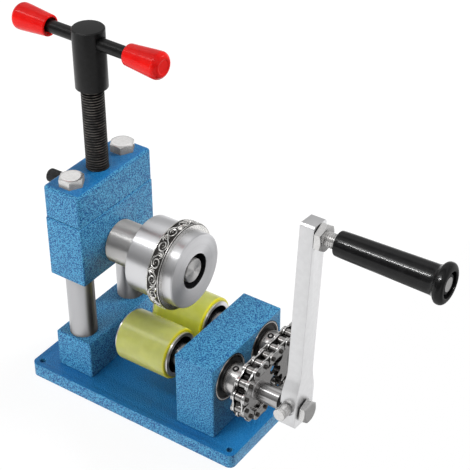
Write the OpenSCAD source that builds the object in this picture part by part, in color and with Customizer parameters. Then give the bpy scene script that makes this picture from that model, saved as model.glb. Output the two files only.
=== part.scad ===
// Hand-cranked jewelry bending machine. A stepped roll on a screw-driven head
// presses a strip down between two lower rollers, which a crank and a roller
// chain turn together. X runs along the roll axes towards the crank, Z is up,
// and the origin is the centre of the underside of the base plate.

/* [Base plate] */
// Length of the base plate along the roll axes
base_l = 180; // [178:1:220]
// Width of the base plate
base_w = 102; // [100:1:130]
// Thickness of the base plate
base_t = 11; // [9:0.5:16]
// Radius of the corners of the base plate
base_corner_r = 3; // [2:0.5:5]
// Diameter of the four mounting holes
mount_hole_d = 4.5; // [3.5:0.1:5.5]
// Distance of a mounting hole from the nearest edges
mount_hole_in = 6; // [5:0.5:6.5]

/* [Blocks] */
// Thickness of the foot block, the sliding head and the crosshead
block_t = 31; // [30:0.5:36]
// Width of the foot block, the sliding head and the crosshead
block_w = 80; // [79:1:90]
// Height of the foot block
foot_h = 31; // [24:0.5:36]
// Chamfer on the edges of the blocks
edge_c = 0.8; // [0.4:0.1:1.2]

/* [Guide posts] */
// Distance of the posts from the middle of the base plate
post_back = 56.5; // [54:0.5:60]
// Diameter of the posts
post_d = 20; // [18:0.5:20.5]
// Distance between the post axes
post_span = 55; // [54.5:0.5:56]
// Height of the underside of the crosshead
crosshead_z = 141.8; // [138:0.2:150]
// Height of the crosshead
crosshead_h = 25.4; // [22:0.2:30]

/* [Sliding head] */
// Height of the sliding head
head_h = 48; // [46:0.5:50]
// Height of the top roll's axis above the underside of the head
roll_rise = 17.3; // [16.5:0.1:18]
// Downward travel of the head
head_travel = 11; // [8:0.5:11]
// Wall of the two-part bushes on the posts
bush_wall = 1; // [0.8:0.1:1.2]
// Length of one post bush
bush_l = 18; // [12:1:21]

/* [Pressing screw] */
// Diameter of the pressing screw
screw_d = 16; // [14:0.5:17]
// Diameter of the hub at the top of the screw
hub_d = 22.5; // [20:0.5:26]
// Height of the hub
hub_h = 43; // [36:0.5:48]
// Height of the underside of the hub
hub_z = 229.5; // [215:0.5:240]
// Distance of the tommy bar below the top of the hub
bar_drop = 9.2; // [8:0.2:12]
// Diameter of the tommy bar
bar_d = 9; // [8:0.2:10]
// Distance from the screw axis to the outer end of a grip
bar_reach = 63; // [56:1:75]
// Length of a bar grip
grip_l = 29; // [22:0.5:34]
// Diameter of a bar grip at its inner end
grip_in_d = 15; // [13.5:0.1:16]
// Diameter of a bar grip at its outer end
grip_out_d = 19; // [17:0.1:21]
// Turn of the tommy bar away from the roll axes, seen from above
bar_turn = -2.6; // [-5:0.1:5]

/* [Lock screw] */
// Diameter of the head of the lock screw
lock_head_d = 10; // [8:0.5:12]
// Length of the head of the lock screw
lock_head_l = 10; // [7:0.5:12]
// Distance that the lock screw stands out of the crosshead
lock_out = 19; // [16:0.5:22]
// Diameter of the lock screw's shank
lock_d = 6; // [5:0.5:6]

/* [Top roll] */
// Diameter of the top roll
roll_d = 56; // [50:0.5:57]
// Diameter of the seat of the pattern ring
seat_d = 54.6; // [49:0.2:55]
// Length of the top roll
roll_l = 39.2; // [34:0.2:44]
// Length of the front seat, behind the pattern ring as well
seat_l = 18.3; // [16:0.1:22]
// Distance from the head to the back of the roll
roll_neck_l = 26.8; // [20:0.2:32]
// Diameter of the shaft's collar between the head and the roll
roll_neck_d = 32; // [26:0.5:34]
// Diameter of the shaft inside the roll
roll_spigot_d = 17.6; // [16:0.2:18]
// Diameter of the recess in the front of the roll
roll_recess_d = 26; // [24:0.5:30]
// Depth of the recess
roll_recess_t = 8; // [6:0.5:12]
// Width of the pattern ring
ring_w = 10.3; // [7:0.1:12]
// Wall of the pattern ring
ring_wall = 4.7; // [3:0.1:4.8]

/* [Lower rollers] */
// Height of the roller axes above the base plate
axle_rise = 41.3; // [40:0.1:44]
// Outer diameter of a lower roller
lower_d = 37.6; // [34:0.2:38.4]
// Length of the sleeve of a lower roller
lower_l = 42.6; // [34:0.1:46]
// Gap between the lower rollers and the bearing block
lower_gap = 11.4; // [9:0.2:14]
// Outer diameter of the roller core
core_d = 33; // [29:0.2:33.4]
// Wall of the roller core
core_wall = 3; // [2.5:0.1:4]
// Length that the core stands out of the sleeve at each end
core_out = 1.3; // [0.8:0.1:2]
// Corner radius of the sleeve
sleeve_r = 2; // [1:0.1:2.2]

/* [Bearing block] */
// Distance of the bearing block's front from the middle of the base plate
bearing_block_front = 68.8; // [66:0.2:72]
// Thickness of the bearing block
bearing_block_t = 32; // [30:0.5:36]
// Width of the bearing block
bearing_block_w = 84; // [82:1:92]
// Height of the bearing block
bearing_block_h = 60.5; // [60.2:0.1:66]

/* [Ball bearings] */
// Bore of the ball bearings
bearing_bore = 15; // [14:0.5:15.5]
// Outer diameter of a bearing in the block
bearing_od = 35; // [34:0.2:36]
// Width of a bearing in the block
bearing_b = 11; // [10:0.5:12]
// Ball diameter of a bearing in the block
ball_d = 6; // [5:0.1:6.2]
// Outer diameter of a bearing in the head
head_bearing_od = 28; // [27.4:0.2:29]
// Width of a bearing in the head
head_bearing_b = 7; // [6.5:0.1:8]
// Ball diameter of a bearing in the head
head_ball_d = 3.9; // [3.4:0.1:4.1]

/* [Chain and sprockets] */
// Chain pitch
pitch = 9.525; // [9.2:0.005:9.6]
// Teeth of each sprocket, an even number
teeth = 12; // [12:2:12]
// Whole links in each straight run
run_links = 4; // [4:1:4]
// Distance of the chain's middle from the bearing block
chain_out = 20.3; // [19:0.1:24]
// Diameter of the chain rollers
chain_roller_d = 6.35; // [6:0.05:6.5]
// Gap between the inner plates
chain_inner_w = 5.72; // [5.5:0.02:6]
// Height of the chain plates
chain_plate_h = 8.2; // [7.6:0.1:8.3]
// Diameter of the chain pins
chain_pin_d = 3.28; // [3:0.02:3.4]
// Thickness of the inner plates
inner_plate_t = 1.3; // [1:0.05:1.4]
// Thickness of the outer plates
outer_plate_t = 1.04; // [0.9:0.02:1.2]
// Width of a sprocket tooth
tooth_w = 5.2; // [4.6:0.1:5.3]
// Diameter of the sprocket hubs
sprocket_hub_d = 24; // [21:0.2:25]

/* [Crank] */
// Diameter of the drive shaft between sprocket and crank
crank_shaft_d = 14; // [13:0.2:14.4]
// Diameter of the shaft end in the crank
crank_bore_d = 12; // [10.5:0.1:12]
// Distance from the bearing block to the crank arm
crank_out = 47.2; // [46:0.2:52]
// Thickness of the crank arm
arm_t = 12; // [11:0.2:14]
// Width of the crank arm
arm_w = 15; // [13:0.2:17]
// Width of the foot of the crank arm
arm_foot_w = 22; // [20:0.2:24]
// Distance from the shaft to the handle
crank_throw = 134.5; // [110:0.5:145]
// Lean of the crank arm at rest
crank_lean = 5; // [0:0.5:10]

/* [Crank handle] */
// Distance from the arm to the handle grip
handle_gap = 13.5; // [11:0.1:18]
// Length of the handle grip
handle_l = 76.3; // [60:0.5:90]
// Diameter of the grip at its inner end
handle_in_d = 16.6; // [14.5:0.1:18]
// Diameter of the grip near its flare
handle_out_d = 19.4; // [18.6:0.1:22]
// Diameter of the flare
flare_d = 27; // [25:0.1:30]
// Diameter of the handle spindle
spindle_d = 10; // [8:0.2:10.4]

/* [Hidden] */
$fn = 48;

// Overrun of a cut past the face that it opens
over = 1;
// Radial clearance of a fixed fit, of a running fit, and of a free hole
fixed_fit = 0.02;
run_fit = 0.05;
free_fit = 0.25;
// Gap between faces that pass each other
face_gap = 0.3;
// Thin gap where a moving part bears endways
end_gap = 0.1;
// Sides of the arcs in a revolved outline
arc_steps = 6;
hex_sides = 6;
hex_top_share = 0.94;

// Places along X
post_x = -post_back;
head_front = post_x + block_t / 2;
head_back = post_x - block_t / 2;
roll_x0 = head_front + roll_neck_l;
roll_x1 = roll_x0 + roll_l;
seat_x0 = roll_x1 - seat_l;
block_x1 = bearing_block_front;
block_x0 = block_x1 - bearing_block_t;
lower_x1 = block_x0 - lower_gap;
lower_x0 = lower_x1 - lower_l;
chain_x = block_x1 + chain_out;
arm_x0 = block_x1 + crank_out;
arm_x1 = arm_x0 + arm_t;
handle_x0 = arm_x1 + handle_gap;
handle_x1 = handle_x0 + handle_l;

// Heights
head_top = crosshead_z - face_gap;
head_z = head_top - head_h;
roll_z = head_z + roll_rise;
axle_z = base_t + axle_rise;
crosshead_top = crosshead_z + crosshead_h;
bar_z = hub_z + hub_h - bar_drop;

// Distance between the lower roller axes, from the chain
axle_span = (run_links + 1 / 2) * pitch;

// Fasteners: clearance and size of the metric screws in use
block_screw_d = 8;
block_screw_head_d = 15;
block_screw_head_h = 4.4;
block_screw_l = 23;
block_screw_y = 33;
post_bolt_d = 10;
post_bolt_af = 16;
post_bolt_head_h = 6.4;
post_bolt_in = 18;
tap_extra = 4;

// Head pocket for the end of the pressing screw
pocket_depth = 13;
pocket_d = 15;
button_d = 13;
button_t = 3;
collar_d = 14;
neck_d = 9;
keeper_d = 25.8;
keeper_t = 4.4;
keeper_slot = 0.5;
keeper_seat_d = keeper_d + 2 * free_fit;
keeper_seat_t = keeper_t + 2 * free_fit;
collar_t = pocket_depth - button_t - keeper_seat_t - 2 * end_gap;
keeper_screw_d = 3;
keeper_screw_head_d = 5.4;
keeper_screw_head_t = 1.2;
keeper_screw_l = 7;
keeper_screw_y = 10.2;

// Lock screw: beside the pressing screw, so that its shank wedges the thread
lock_y = -(screw_d / 2 + lock_d / 2 + face_gap);
lock_rise_share = 0.47;
lock_z = crosshead_z + crosshead_h * lock_rise_share;
lock_tip = post_x + lock_d;

// Retaining rings
clip_t = 1.2;
clip_depth = 0.9;
clip_wall = 2.2;
clip_gap_angle = 50;

// Bearings
shoulder_share = 0.3;
seal_t = 0.8;
seal_in = 0.4;
block_balls = 9;
head_balls = 13;

// Rollers, sprockets and shafts
roller_web_t = 10;
hub_gap = 0.6;
set_screw_d = 5;
set_screw_l = 4;
set_screw_share = 0.35;
set_screw_lean = 11;
chain_bush_d = 4.8;
chain_pin_l = 12.9;
plate_gap = 0.14;
plate_waist_share = 0.8;
tooth_gap = 0.1;
tooth_short = 1.3;
tooth_bevel = 1;
leave_share = 0.5;

// Crank
arm_foot_drop = 10;
arm_foot_rise = 13;
arm_blend_l = 18;
arm_top = 9;
arm_corner = 1.5;
arm_set_back = 1.6;
arm_shaft_end_gap = 0.6;
end_bolt_d = 8;
end_bolt_af = 15;
end_bolt_head_h = 5.3;
end_bolt_l = 18;
set_bolt_d = 8.8;
set_bolt_rise = 4.6;
set_bolt_out = 9.5;
set_bolt_share = 0.42;
set_bolt_ring_d = 11;
set_bolt_ring_t = 1.5;
handle_nut_af = 17;
handle_nut_h = 6;
spindle_head_af = 13;
spindle_head_h = 5;
handle_recess_d = 17;
handle_recess_t = 6.3;
flare_w = 7;
flare_lead_in = 60;
grip_edge_r = 1.2;

// Chain: the sprocket step, the pitch circle and the pins in order round the
// loop, from the top of the near sprocket over its outer side, along the
// bottom, round the far sprocket and back along the top.
step = 360 / teeth;
pitch_r = pitch / (2 * sin(step / 2));
near_pins = teeth / 2 + 2;
far_pins = teeth / 2 + 1;
pins = near_pins + far_pins + 2 * (run_links - 1);
// A loop with an odd number of links closes with one offset link
offset_link = near_pins + near_pins % 2;

function on_near(i) = [-axle_span / 2 + pitch_r * cos(90 - step / 2 + i * step),
    axle_z + pitch_r * sin(90 - step / 2 + i * step)];
function on_far(i) = [axle_span / 2 + pitch_r * cos(-90 + i * step),
    axle_z + pitch_r * sin(-90 + i * step)];
function between(a, b, share) = a + (b - a) * share;
bottom_start = near_pins;
far_start = bottom_start + run_links - 1;
top_start = far_start + far_pins;
function pin_at(i) = i < bottom_start ? on_near(i)
    : i < far_start ? between(on_near(near_pins - 1), on_far(0), (i - bottom_start + 1) / run_links)
    : i < top_start ? on_far(i - far_start)
    : between(on_far(far_pins - 1), on_near(0), (i - top_start + 1) / run_links);
function link_is_outer(i) = i < offset_link ? i % 2 == 0 : i % 2 == 1;

// Points of an arc, for revolved and extruded outlines
function arc(cx, cy, r, a0, a1) = [for (i = [0:arc_steps])
    [cx + r * cos(a0 + (a1 - a0) * i / arc_steps), cy + r * sin(a0 + (a1 - a0) * i / arc_steps)]];

// Turns what is drawn along Z so that it lies along X from the given point
module along_x(x, y, z) {
    translate([x, y, z]) rotate([0, 90, 0]) children();
}

// A round bar along X between two places
module bar_x(x0, x1, y, z, d) {
    along_x(x0, y, z) cylinder(h = x1 - x0, d = d);
}

// A ring along X between two places
module ring_x(x0, x1, y, z, d, bore) {
    difference() {
        bar_x(x0, x1, y, z, d);
        bar_x(x0 - over, x1 + over, y, z, bore);
    }
}

// A hexagonal prism along Z, a corner along X
module hex(af, h) {
    cylinder(h = h, d = af / cos(180 / hex_sides), $fn = hex_sides);
}

// A hexagon head whose corners are turned off at 30 degrees
module hex_head(af, h) {
    top_d = af * hex_top_share;
    intersection() {
        hex(af, h);
        cylinder(h = h, d1 = top_d + 2 * h * tan(60), d2 = top_d);
    }
}

// A block with chamfered edges, standing on its underside
module block(l, w, h) {
    intersection() {
        linear_extrude(h) bevelled(l, w);
        translate([0, w / 2, h / 2]) rotate([90, 0, 0]) linear_extrude(w) bevelled(l, h);
        translate([-l / 2, 0, h / 2]) rotate([90, 0, 90]) linear_extrude(l) bevelled(w, h);
    }
}

module bevelled(a, b) {
    c = edge_c;
    polygon([[-a / 2 + c, -b / 2], [a / 2 - c, -b / 2], [a / 2, -b / 2 + c], [a / 2, b / 2 - c],
        [a / 2 - c, b / 2], [-a / 2 + c, b / 2], [-a / 2, b / 2 - c], [-a / 2, -b / 2 + c]]);
}

// The places of the countersunk screws under the base plate
function base_screw_places() = concat(
    [for (y = [-post_span / 2, 0, post_span / 2]) [post_x, y]],
    [for (x = [block_x0 + block_screw_d, block_x1 - block_screw_d], y = [-block_screw_y, block_screw_y])
        [x, y]]);

module base_plate() {
    color("steelblue") difference() {
        union() {
            translate([-base_l / 2 + base_corner_r, -base_w / 2, 0])
                cube([base_l - 2 * base_corner_r, base_w, base_t]);
            translate([-base_l / 2, -base_w / 2 + base_corner_r, 0])
                cube([base_l, base_w - 2 * base_corner_r, base_t]);
            for (x = [-1, 1], y = [-1, 1])
                translate([x * (base_l / 2 - base_corner_r), y * (base_w / 2 - base_corner_r), 0])
                    cylinder(h = base_t, r = base_corner_r);
        }
        for (x = [-1, 1], y = [-1, 1])
            translate([x * (base_l / 2 - mount_hole_in), y * (base_w / 2 - mount_hole_in), -over])
                cylinder(h = base_t + 2 * over, d = mount_hole_d);
        for (p = base_screw_places()) translate([p[0], p[1], 0]) {
            translate([0, 0, -over])
                cylinder(h = base_t + 2 * over, d = block_screw_d + 2 * free_fit);
            translate([0, 0, -over])
                cylinder(h = over + face_gap, d = block_screw_head_d + 2 * free_fit);
            translate([0, 0, face_gap])
                cylinder(h = block_screw_head_h, d1 = block_screw_head_d + 2 * free_fit,
                    d2 = block_screw_d + 2 * free_fit);
        }
    }
}

// Seven countersunk screws that hold the posts and the blocks from below
module base_screws() {
    color("dimgray") for (p = base_screw_places()) translate([p[0], p[1], face_gap]) {
        cylinder(h = block_screw_head_h, d1 = block_screw_head_d, d2 = block_screw_d);
        cylinder(h = block_screw_l, d = block_screw_d);
    }
}

module foot_block() {
    color("steelblue") difference() {
        translate([post_x, 0, base_t]) block(block_t, block_w, foot_h);
        for (y = [-1, 1]) translate([post_x, y * post_span / 2, base_t - over])
            cylinder(h = foot_h + 2 * over, d = post_d + 2 * fixed_fit);
        translate([post_x, 0, base_t - over])
            cylinder(h = block_screw_l - base_t + tap_extra + over, d = block_screw_d + 2 * fixed_fit);
    }
}

module guide_posts() {
    color("silver") for (y = [-1, 1]) translate([post_x, y * post_span / 2, base_t]) difference() {
        cylinder(h = crosshead_z - base_t, d = post_d);
        translate([0, 0, -over])
            cylinder(h = block_screw_l - base_t + tap_extra + over, d = block_screw_d + 2 * fixed_fit);
        translate([0, 0, crosshead_z - base_t - post_bolt_in - tap_extra])
            cylinder(h = post_bolt_in + tap_extra + over, d = post_bolt_d + 2 * fixed_fit);
    }
}

// The fixed crosshead on top of the posts, which the pressing screw threads through
module crosshead() {
    color("steelblue") difference() {
        translate([post_x, 0, crosshead_z]) block(block_t, block_w, crosshead_h);
        for (y = [-1, 1]) translate([post_x, y * post_span / 2, crosshead_z - over])
            cylinder(h = crosshead_h + 2 * over, d = post_bolt_d + 2 * free_fit);
        translate([post_x, 0, crosshead_z - over])
            cylinder(h = crosshead_h + 2 * over, d = screw_d + 2 * run_fit);
        bar_x(head_back - over, lock_tip + over, lock_y, lock_z, lock_d + 2 * run_fit);
    }
}

module crosshead_bolts() {
    color("silver") for (y = [-1, 1]) translate([post_x, y * post_span / 2, crosshead_top]) {
        rotate(360 / hex_sides / 2) hex_head(post_bolt_af, post_bolt_head_h);
        translate([0, 0, -crosshead_h - post_bolt_in])
            cylinder(h = crosshead_h + post_bolt_in, d = post_bolt_d);
    }
}

module lock_screw() {
    color("black") {
        bar_x(head_back - lock_out, head_back - lock_out + lock_head_l, lock_y, lock_z, lock_head_d);
        bar_x(head_back - lock_out, lock_tip, lock_y, lock_z, lock_d);
    }
}

// The head that slides on the posts and carries the top roll
module sliding_head() {
    bearing_mid = block_t - 2 * head_bearing_b;
    color("steelblue") difference() {
        translate([post_x, 0, head_z]) block(block_t, block_w, head_h);
        for (y = [-1, 1]) translate([post_x, y * post_span / 2, head_z - over])
            cylinder(h = head_h + 2 * over, d = post_d + 2 * bush_wall + 2 * fixed_fit);
        bar_x(head_back - over, head_back + head_bearing_b, 0, roll_z, head_bearing_od + 2 * fixed_fit);
        bar_x(head_front - head_bearing_b, head_front + over, 0, roll_z, head_bearing_od + 2 * fixed_fit);
        bar_x(head_back, head_front, 0, roll_z, head_bearing_od - 2 * clip_wall);
        translate([post_x, 0, head_top - pocket_depth])
            cylinder(h = pocket_depth + over, d = pocket_d);
        translate([post_x, 0, head_top - keeper_seat_t])
            cylinder(h = keeper_seat_t + over, d = keeper_seat_d);
        for (y = [-1, 1]) translate([post_x, y * keeper_screw_y, head_top - free_fit - keeper_screw_l - over])
            cylinder(h = keeper_screw_l + over, d = keeper_screw_d + 2 * fixed_fit);
    }
}

// Two plain bushes on each post, pressed into the head from both ends
module post_bushes() {
    color("peru") for (y = [-1, 1], z = [head_z, head_top - bush_l])
        translate([post_x, y * post_span / 2, z]) difference() {
            cylinder(h = bush_l, d = post_d + 2 * bush_wall);
            translate([0, 0, -over]) cylinder(h = bush_l + 2 * over, d = post_d + 2 * run_fit);
        }
}

// Ball bearing parts, drawn along Z from the middle of the bearing
function ball_circle(bore, od) = (bore + od) / 2;

module race_groove(bore, od, ball) {
    rotate_extrude() translate([ball_circle(bore, od) / 2, 0]) circle(d = ball + 2 * fixed_fit);
}

module bearing_outer(bore, od, b, ball) {
    difference() {
        translate([0, 0, -b / 2]) cylinder(h = b, d = od);
        translate([0, 0, -b / 2 - over])
            cylinder(h = b + 2 * over, d = ball_circle(bore, od) + ball * (1 - shoulder_share));
        race_groove(bore, od, ball);
    }
}

module bearing_inner(bore, od, b, ball) {
    difference() {
        translate([0, 0, -b / 2])
            cylinder(h = b, d = ball_circle(bore, od) - ball * (1 - shoulder_share));
        translate([0, 0, -b / 2 - over]) cylinder(h = b + 2 * over, d = bore);
        race_groove(bore, od, ball);
    }
}

module bearing_balls(bore, od, ball, count) {
    for (i = [0:count - 1])
        rotate(i * 360 / count) translate([ball_circle(bore, od) / 2, 0, 0]) sphere(d = ball);
}

// The seal discs stand in the outer ring and clear the inner ring
module bearing_seals(bore, od, b, ball) {
    for (side = [-1, 1]) translate([0, 0, side * (b / 2 - seal_in - seal_t / 2) - seal_t / 2])
        difference() {
            cylinder(h = seal_t, d = ball_circle(bore, od) + ball * (1 - shoulder_share) - 2 * fixed_fit);
            translate([0, 0, -over]) cylinder(h = seal_t + 2 * over,
                d = ball_circle(bore, od) - ball * (1 - shoulder_share) + 2 * run_fit);
        }
}

// The middles of the two bearings in the head and in the bearing block
head_bearing_x = [head_back + head_bearing_b / 2, head_front - head_bearing_b / 2];
block_bearing_x = [block_x0 + bearing_b / 2, block_x1 - bearing_b / 2];

module head_bearing_outers() {
    color("silver") for (x = head_bearing_x) along_x(x, 0, roll_z)
        bearing_outer(bearing_bore, head_bearing_od, head_bearing_b, head_ball_d);
}

module head_bearing_balls() {
    color("silver") for (x = head_bearing_x) along_x(x, 0, roll_z)
        bearing_balls(bearing_bore, head_bearing_od, head_ball_d, head_balls);
}

module head_bearing_inners() {
    color("silver") for (x = head_bearing_x) along_x(x, 0, roll_z)
        bearing_inner(bearing_bore, head_bearing_od, head_bearing_b, head_ball_d);
}

// The hardened button that the pressing screw pushes on
module thrust_button() {
    color("gray") translate([post_x, 0, head_top - pocket_depth]) cylinder(h = button_t, d = button_d);
}

// Two half rings over the collar of the pressing screw, so that it also lifts the head
module keeper_halves() {
    z = head_top - keeper_seat_t;
    color("gray") difference() {
        translate([post_x, 0, z]) cylinder(h = keeper_t, d = keeper_d);
        translate([post_x, 0, z - over]) cylinder(h = keeper_t + 2 * over, d = neck_d + 2 * free_fit);
        translate([post_x - keeper_d, -keeper_slot / 2, z - over])
            cube([2 * keeper_d, keeper_slot, keeper_t + 2 * over]);
        for (y = [-1, 1]) translate([post_x, y * keeper_screw_y, z]) {
            translate([0, 0, -over]) cylinder(h = keeper_t + 2 * over, d = keeper_screw_d + 2 * fixed_fit);
            translate([0, 0, keeper_t - keeper_screw_head_t])
                cylinder(h = keeper_screw_head_t + over, d = keeper_screw_head_d + 2 * fixed_fit);
        }
    }
}

module keeper_screws() {
    z = head_top - keeper_seat_t + keeper_t;
    color("dimgray") for (y = [-1, 1]) translate([post_x, y * keeper_screw_y, z]) {
        translate([0, 0, -keeper_screw_head_t])
            cylinder(h = keeper_screw_head_t, d = keeper_screw_head_d);
        translate([0, 0, -keeper_screw_l]) cylinder(h = keeper_screw_l, d = keeper_screw_d);
    }
}

// The pressing screw: thread, neck and the collar under the keeper halves
module press_screw() {
    collar_z = head_top - pocket_depth + button_t + end_gap;
    thread_z = head_top - keeper_seat_t + keeper_t + free_fit;
    color("black") {
        translate([post_x, 0, collar_z]) cylinder(h = collar_t, d = collar_d);
        translate([post_x, 0, collar_z]) cylinder(h = thread_z - collar_z, d = neck_d);
        translate([post_x, 0, thread_z]) cylinder(h = hub_z + hub_h / 2 - thread_z, d = screw_d);
    }
}

// The hub is screwed on the top of the thread, and the tommy bar slides through it
module screw_hub() {
    color("black") difference() {
        translate([post_x, 0, hub_z]) {
            cylinder(h = hub_h - edge_c, d = hub_d);
            translate([0, 0, hub_h - edge_c]) cylinder(h = edge_c, d1 = hub_d, d2 = hub_d - 2 * edge_c);
        }
        translate([post_x, 0, hub_z - over])
            cylinder(h = hub_h / 2 + over, d = screw_d + 2 * fixed_fit);
        translate([post_x, 0, bar_z]) rotate(bar_turn)
            bar_x(-hub_d, hub_d, 0, 0, bar_d + 2 * run_fit);
        for (side = [-1, 1]) translate([post_x, 0, bar_z]) rotate(bar_turn)
            bar_x(side * hub_d / 2 - edge_c, side * hub_d / 2 + edge_c, 0, 0, bar_d + 2 * edge_c);
    }
}

module tommy_bar() {
    end = bar_reach - grip_wall - face_gap;
    color("black") translate([post_x, 0, bar_z]) rotate(bar_turn) bar_x(-end, end, 0, 0, bar_d);
}

// Moulded caps on the ends of the bar: a taper with a round end
grip_wall = 4;
grip_round = 4.5;
grip_round_sweep = 75;
grip_mouth_d = 11.6;
grip_mouth_t = 3;
module bar_grips() {
    r0 = grip_in_d / 2;
    r1 = grip_out_d / 2;
    color("red") translate([post_x, 0, bar_z]) for (turn = [0, 180])
        rotate(bar_turn + turn) along_x(bar_reach - grip_l, 0, 0) difference() {
            rotate_extrude() polygon(concat([[0, 0]], arc(r0 - grip_edge_r, grip_edge_r, grip_edge_r, -90, 0),
                arc(r1 - grip_round, grip_l - grip_round, grip_round, 0, grip_round_sweep),
                [[r1 - grip_round, grip_l], [0, grip_l]]));
            translate([0, 0, -over]) cylinder(h = grip_l - grip_wall + over, d = bar_d + 2 * fixed_fit);
            translate([0, 0, -over]) cylinder(h = grip_mouth_t + over, d = grip_mouth_d);
        }
}

// The roll shaft: bearing seats, the collar in front of the head, and the spigot in the roll
roll_tail = 2.3;
rear_clip_x = head_back - clip_t - end_gap;
spigot_short = 1.2;
module roll_shaft() {
    color("silver") difference() {
        union() {
            bar_x(rear_clip_x - roll_tail, head_front + end_gap, 0, roll_z, bearing_bore - 2 * fixed_fit);
            bar_x(head_front + end_gap, roll_x0, 0, roll_z, roll_neck_d);
            bar_x(roll_x0, roll_x1 - spigot_short, 0, roll_z, roll_spigot_d);
        }
        clip_groove(rear_clip_x, 0, roll_z, bearing_bore);
        clip_groove(roll_x1 - roll_recess_t, 0, roll_z, roll_spigot_d);
    }
}

// The groove that takes a retaining ring, from x to x plus the ring's thickness
module clip_groove(x, y, z, d) {
    ring_x(x - end_gap / 2, x + clip_t + end_gap / 2, y, z, d + 2 * over, d - 2 * clip_depth);
}

// An open retaining ring in that groove
module clip(x, y, z, d) {
    difference() {
        ring_x(x, x + clip_t, y, z, d + 2 * clip_wall - 2 * clip_depth, d - 2 * clip_depth + 2 * fixed_fit);
        along_x(x - over, y, z) linear_extrude(clip_t + 2 * over)
            polygon([[0, 0], [d * cos(clip_gap_angle / 2), d * sin(clip_gap_angle / 2)],
                [d * cos(clip_gap_angle / 2), -d * sin(clip_gap_angle / 2)]]);
    }
}

module roll_clips() {
    color("dimgray") {
        clip(rear_clip_x, 0, roll_z, bearing_bore);
        clip(roll_x1 - roll_recess_t, 0, roll_z, roll_spigot_d);
    }
}

// The top roll: a plain barrel, a stepped seat for the pattern ring and a recessed front
roll_chamfer = 0.4;
module top_roll() {
    r0 = roll_d / 2;
    r1 = seat_d / 2;
    c = roll_chamfer;
    s = roll_l - seat_l;
    color("silver") along_x(roll_x0, 0, roll_z) difference() {
        rotate_extrude() polygon([[0, 0], [r0 - c / 2, 0], [r0, c / 2], [r0, s], [r1, s],
            [r1, roll_l - 2 * c], [r1 - c, roll_l], [0, roll_l]]);
        translate([0, 0, -over]) cylinder(h = roll_l + 2 * over, d = roll_spigot_d + 2 * fixed_fit);
        translate([0, 0, roll_l - roll_recess_t]) cylinder(h = roll_recess_t + over, d = roll_recess_d);
    }
}

// The ring with the raised pattern, slipped on to the seat of the roll
module pattern_ring() {
    color("gray") ring_x(seat_x0, seat_x0 + ring_w, 0, roll_z, seat_d + 2 * ring_wall + 2 * fixed_fit,
        seat_d + 2 * fixed_fit);
}

module bearing_block() {
    color("steelblue") difference() {
        translate([(block_x0 + block_x1) / 2, 0, base_t])
            block(bearing_block_t, bearing_block_w, bearing_block_h);
        for (y = [-1, 1]) {
            bar_x(block_x0 - over, block_x0 + bearing_b, y * axle_span / 2, axle_z,
                bearing_od + 2 * fixed_fit);
            bar_x(block_x1 - bearing_b, block_x1 + over, y * axle_span / 2, axle_z,
                bearing_od + 2 * fixed_fit);
            bar_x(block_x0, block_x1, y * axle_span / 2, axle_z, bearing_od - 2 * clip_wall);
        }
        for (p = base_screw_places()) if (p[0] > 0) translate([p[0], p[1], base_t - over])
            cylinder(h = block_screw_l - base_t + tap_extra + over, d = block_screw_d + 2 * fixed_fit);
    }
}

module block_bearing_outers() {
    color("silver") for (x = block_bearing_x, y = [-1, 1]) along_x(x, y * axle_span / 2, axle_z)
        bearing_outer(bearing_bore, bearing_od, bearing_b, ball_d);
}

module block_bearing_balls() {
    color("silver") for (x = block_bearing_x, y = [-1, 1]) along_x(x, y * axle_span / 2, axle_z)
        bearing_balls(bearing_bore, bearing_od, ball_d, block_balls);
}

module block_bearing_seals() {
    color("black") for (x = block_bearing_x, y = [-1, 1]) along_x(x, y * axle_span / 2, axle_z)
        bearing_seals(bearing_bore, bearing_od, bearing_b, ball_d);
}

// What both lower rollers share, where side is -1 for the drive and 1 for the idler
shaft_tail = 2.5;
web_x0 = lower_x0 + (lower_l - roller_web_t) / 2;
web_x1 = web_x0 + roller_web_t;
module shaft_body(side, x1) {
    y = side * axle_span / 2;
    x0 = web_x0 - clip_t - shaft_tail;
    difference() {
        union() {
            bar_x(x0, x1, y, axle_z, bearing_bore - 2 * fixed_fit);
            bar_x(web_x1, block_x0 - end_gap, y, axle_z, shaft_collar_d);
        }
        clip_groove(web_x0 - clip_t, y, axle_z, bearing_bore);
    }
}
// Collar between the roller's web and the first bearing
shaft_collar_d = 19;

module roller_core(side) {
    y = side * axle_span / 2;
    difference() {
        bar_x(lower_x0 - core_out, lower_x1 + core_out, y, axle_z, core_d);
        bar_x(lower_x0 - core_out - over, web_x0, y, axle_z, core_d - 2 * core_wall);
        bar_x(web_x1, lower_x1 + core_out + over, y, axle_z, core_d - 2 * core_wall);
        bar_x(web_x0 - over, web_x1 + over, y, axle_z, bearing_bore);
    }
}

module roller_sleeve(side) {
    r1 = lower_d / 2;
    r0 = core_d / 2 + fixed_fit;
    color("yellowgreen") along_x(lower_x0, side * axle_span / 2, axle_z) rotate_extrude()
        polygon(concat([[r0, 0]], arc(r1 - sleeve_r, sleeve_r, sleeve_r, -90, 0),
            arc(r1 - sleeve_r, lower_l - sleeve_r, sleeve_r, 0, 90), [[r0, lower_l]]));
}

module roller_clip(side) {
    color("dimgray") clip(web_x0 - clip_t, side * axle_span / 2, axle_z, bearing_bore);
}

module shaft_bearing_inners(side) {
    color("silver") for (x = block_bearing_x) along_x(x, side * axle_span / 2, axle_z)
        bearing_inner(bearing_bore, bearing_od, bearing_b, ball_d);
}

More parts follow.
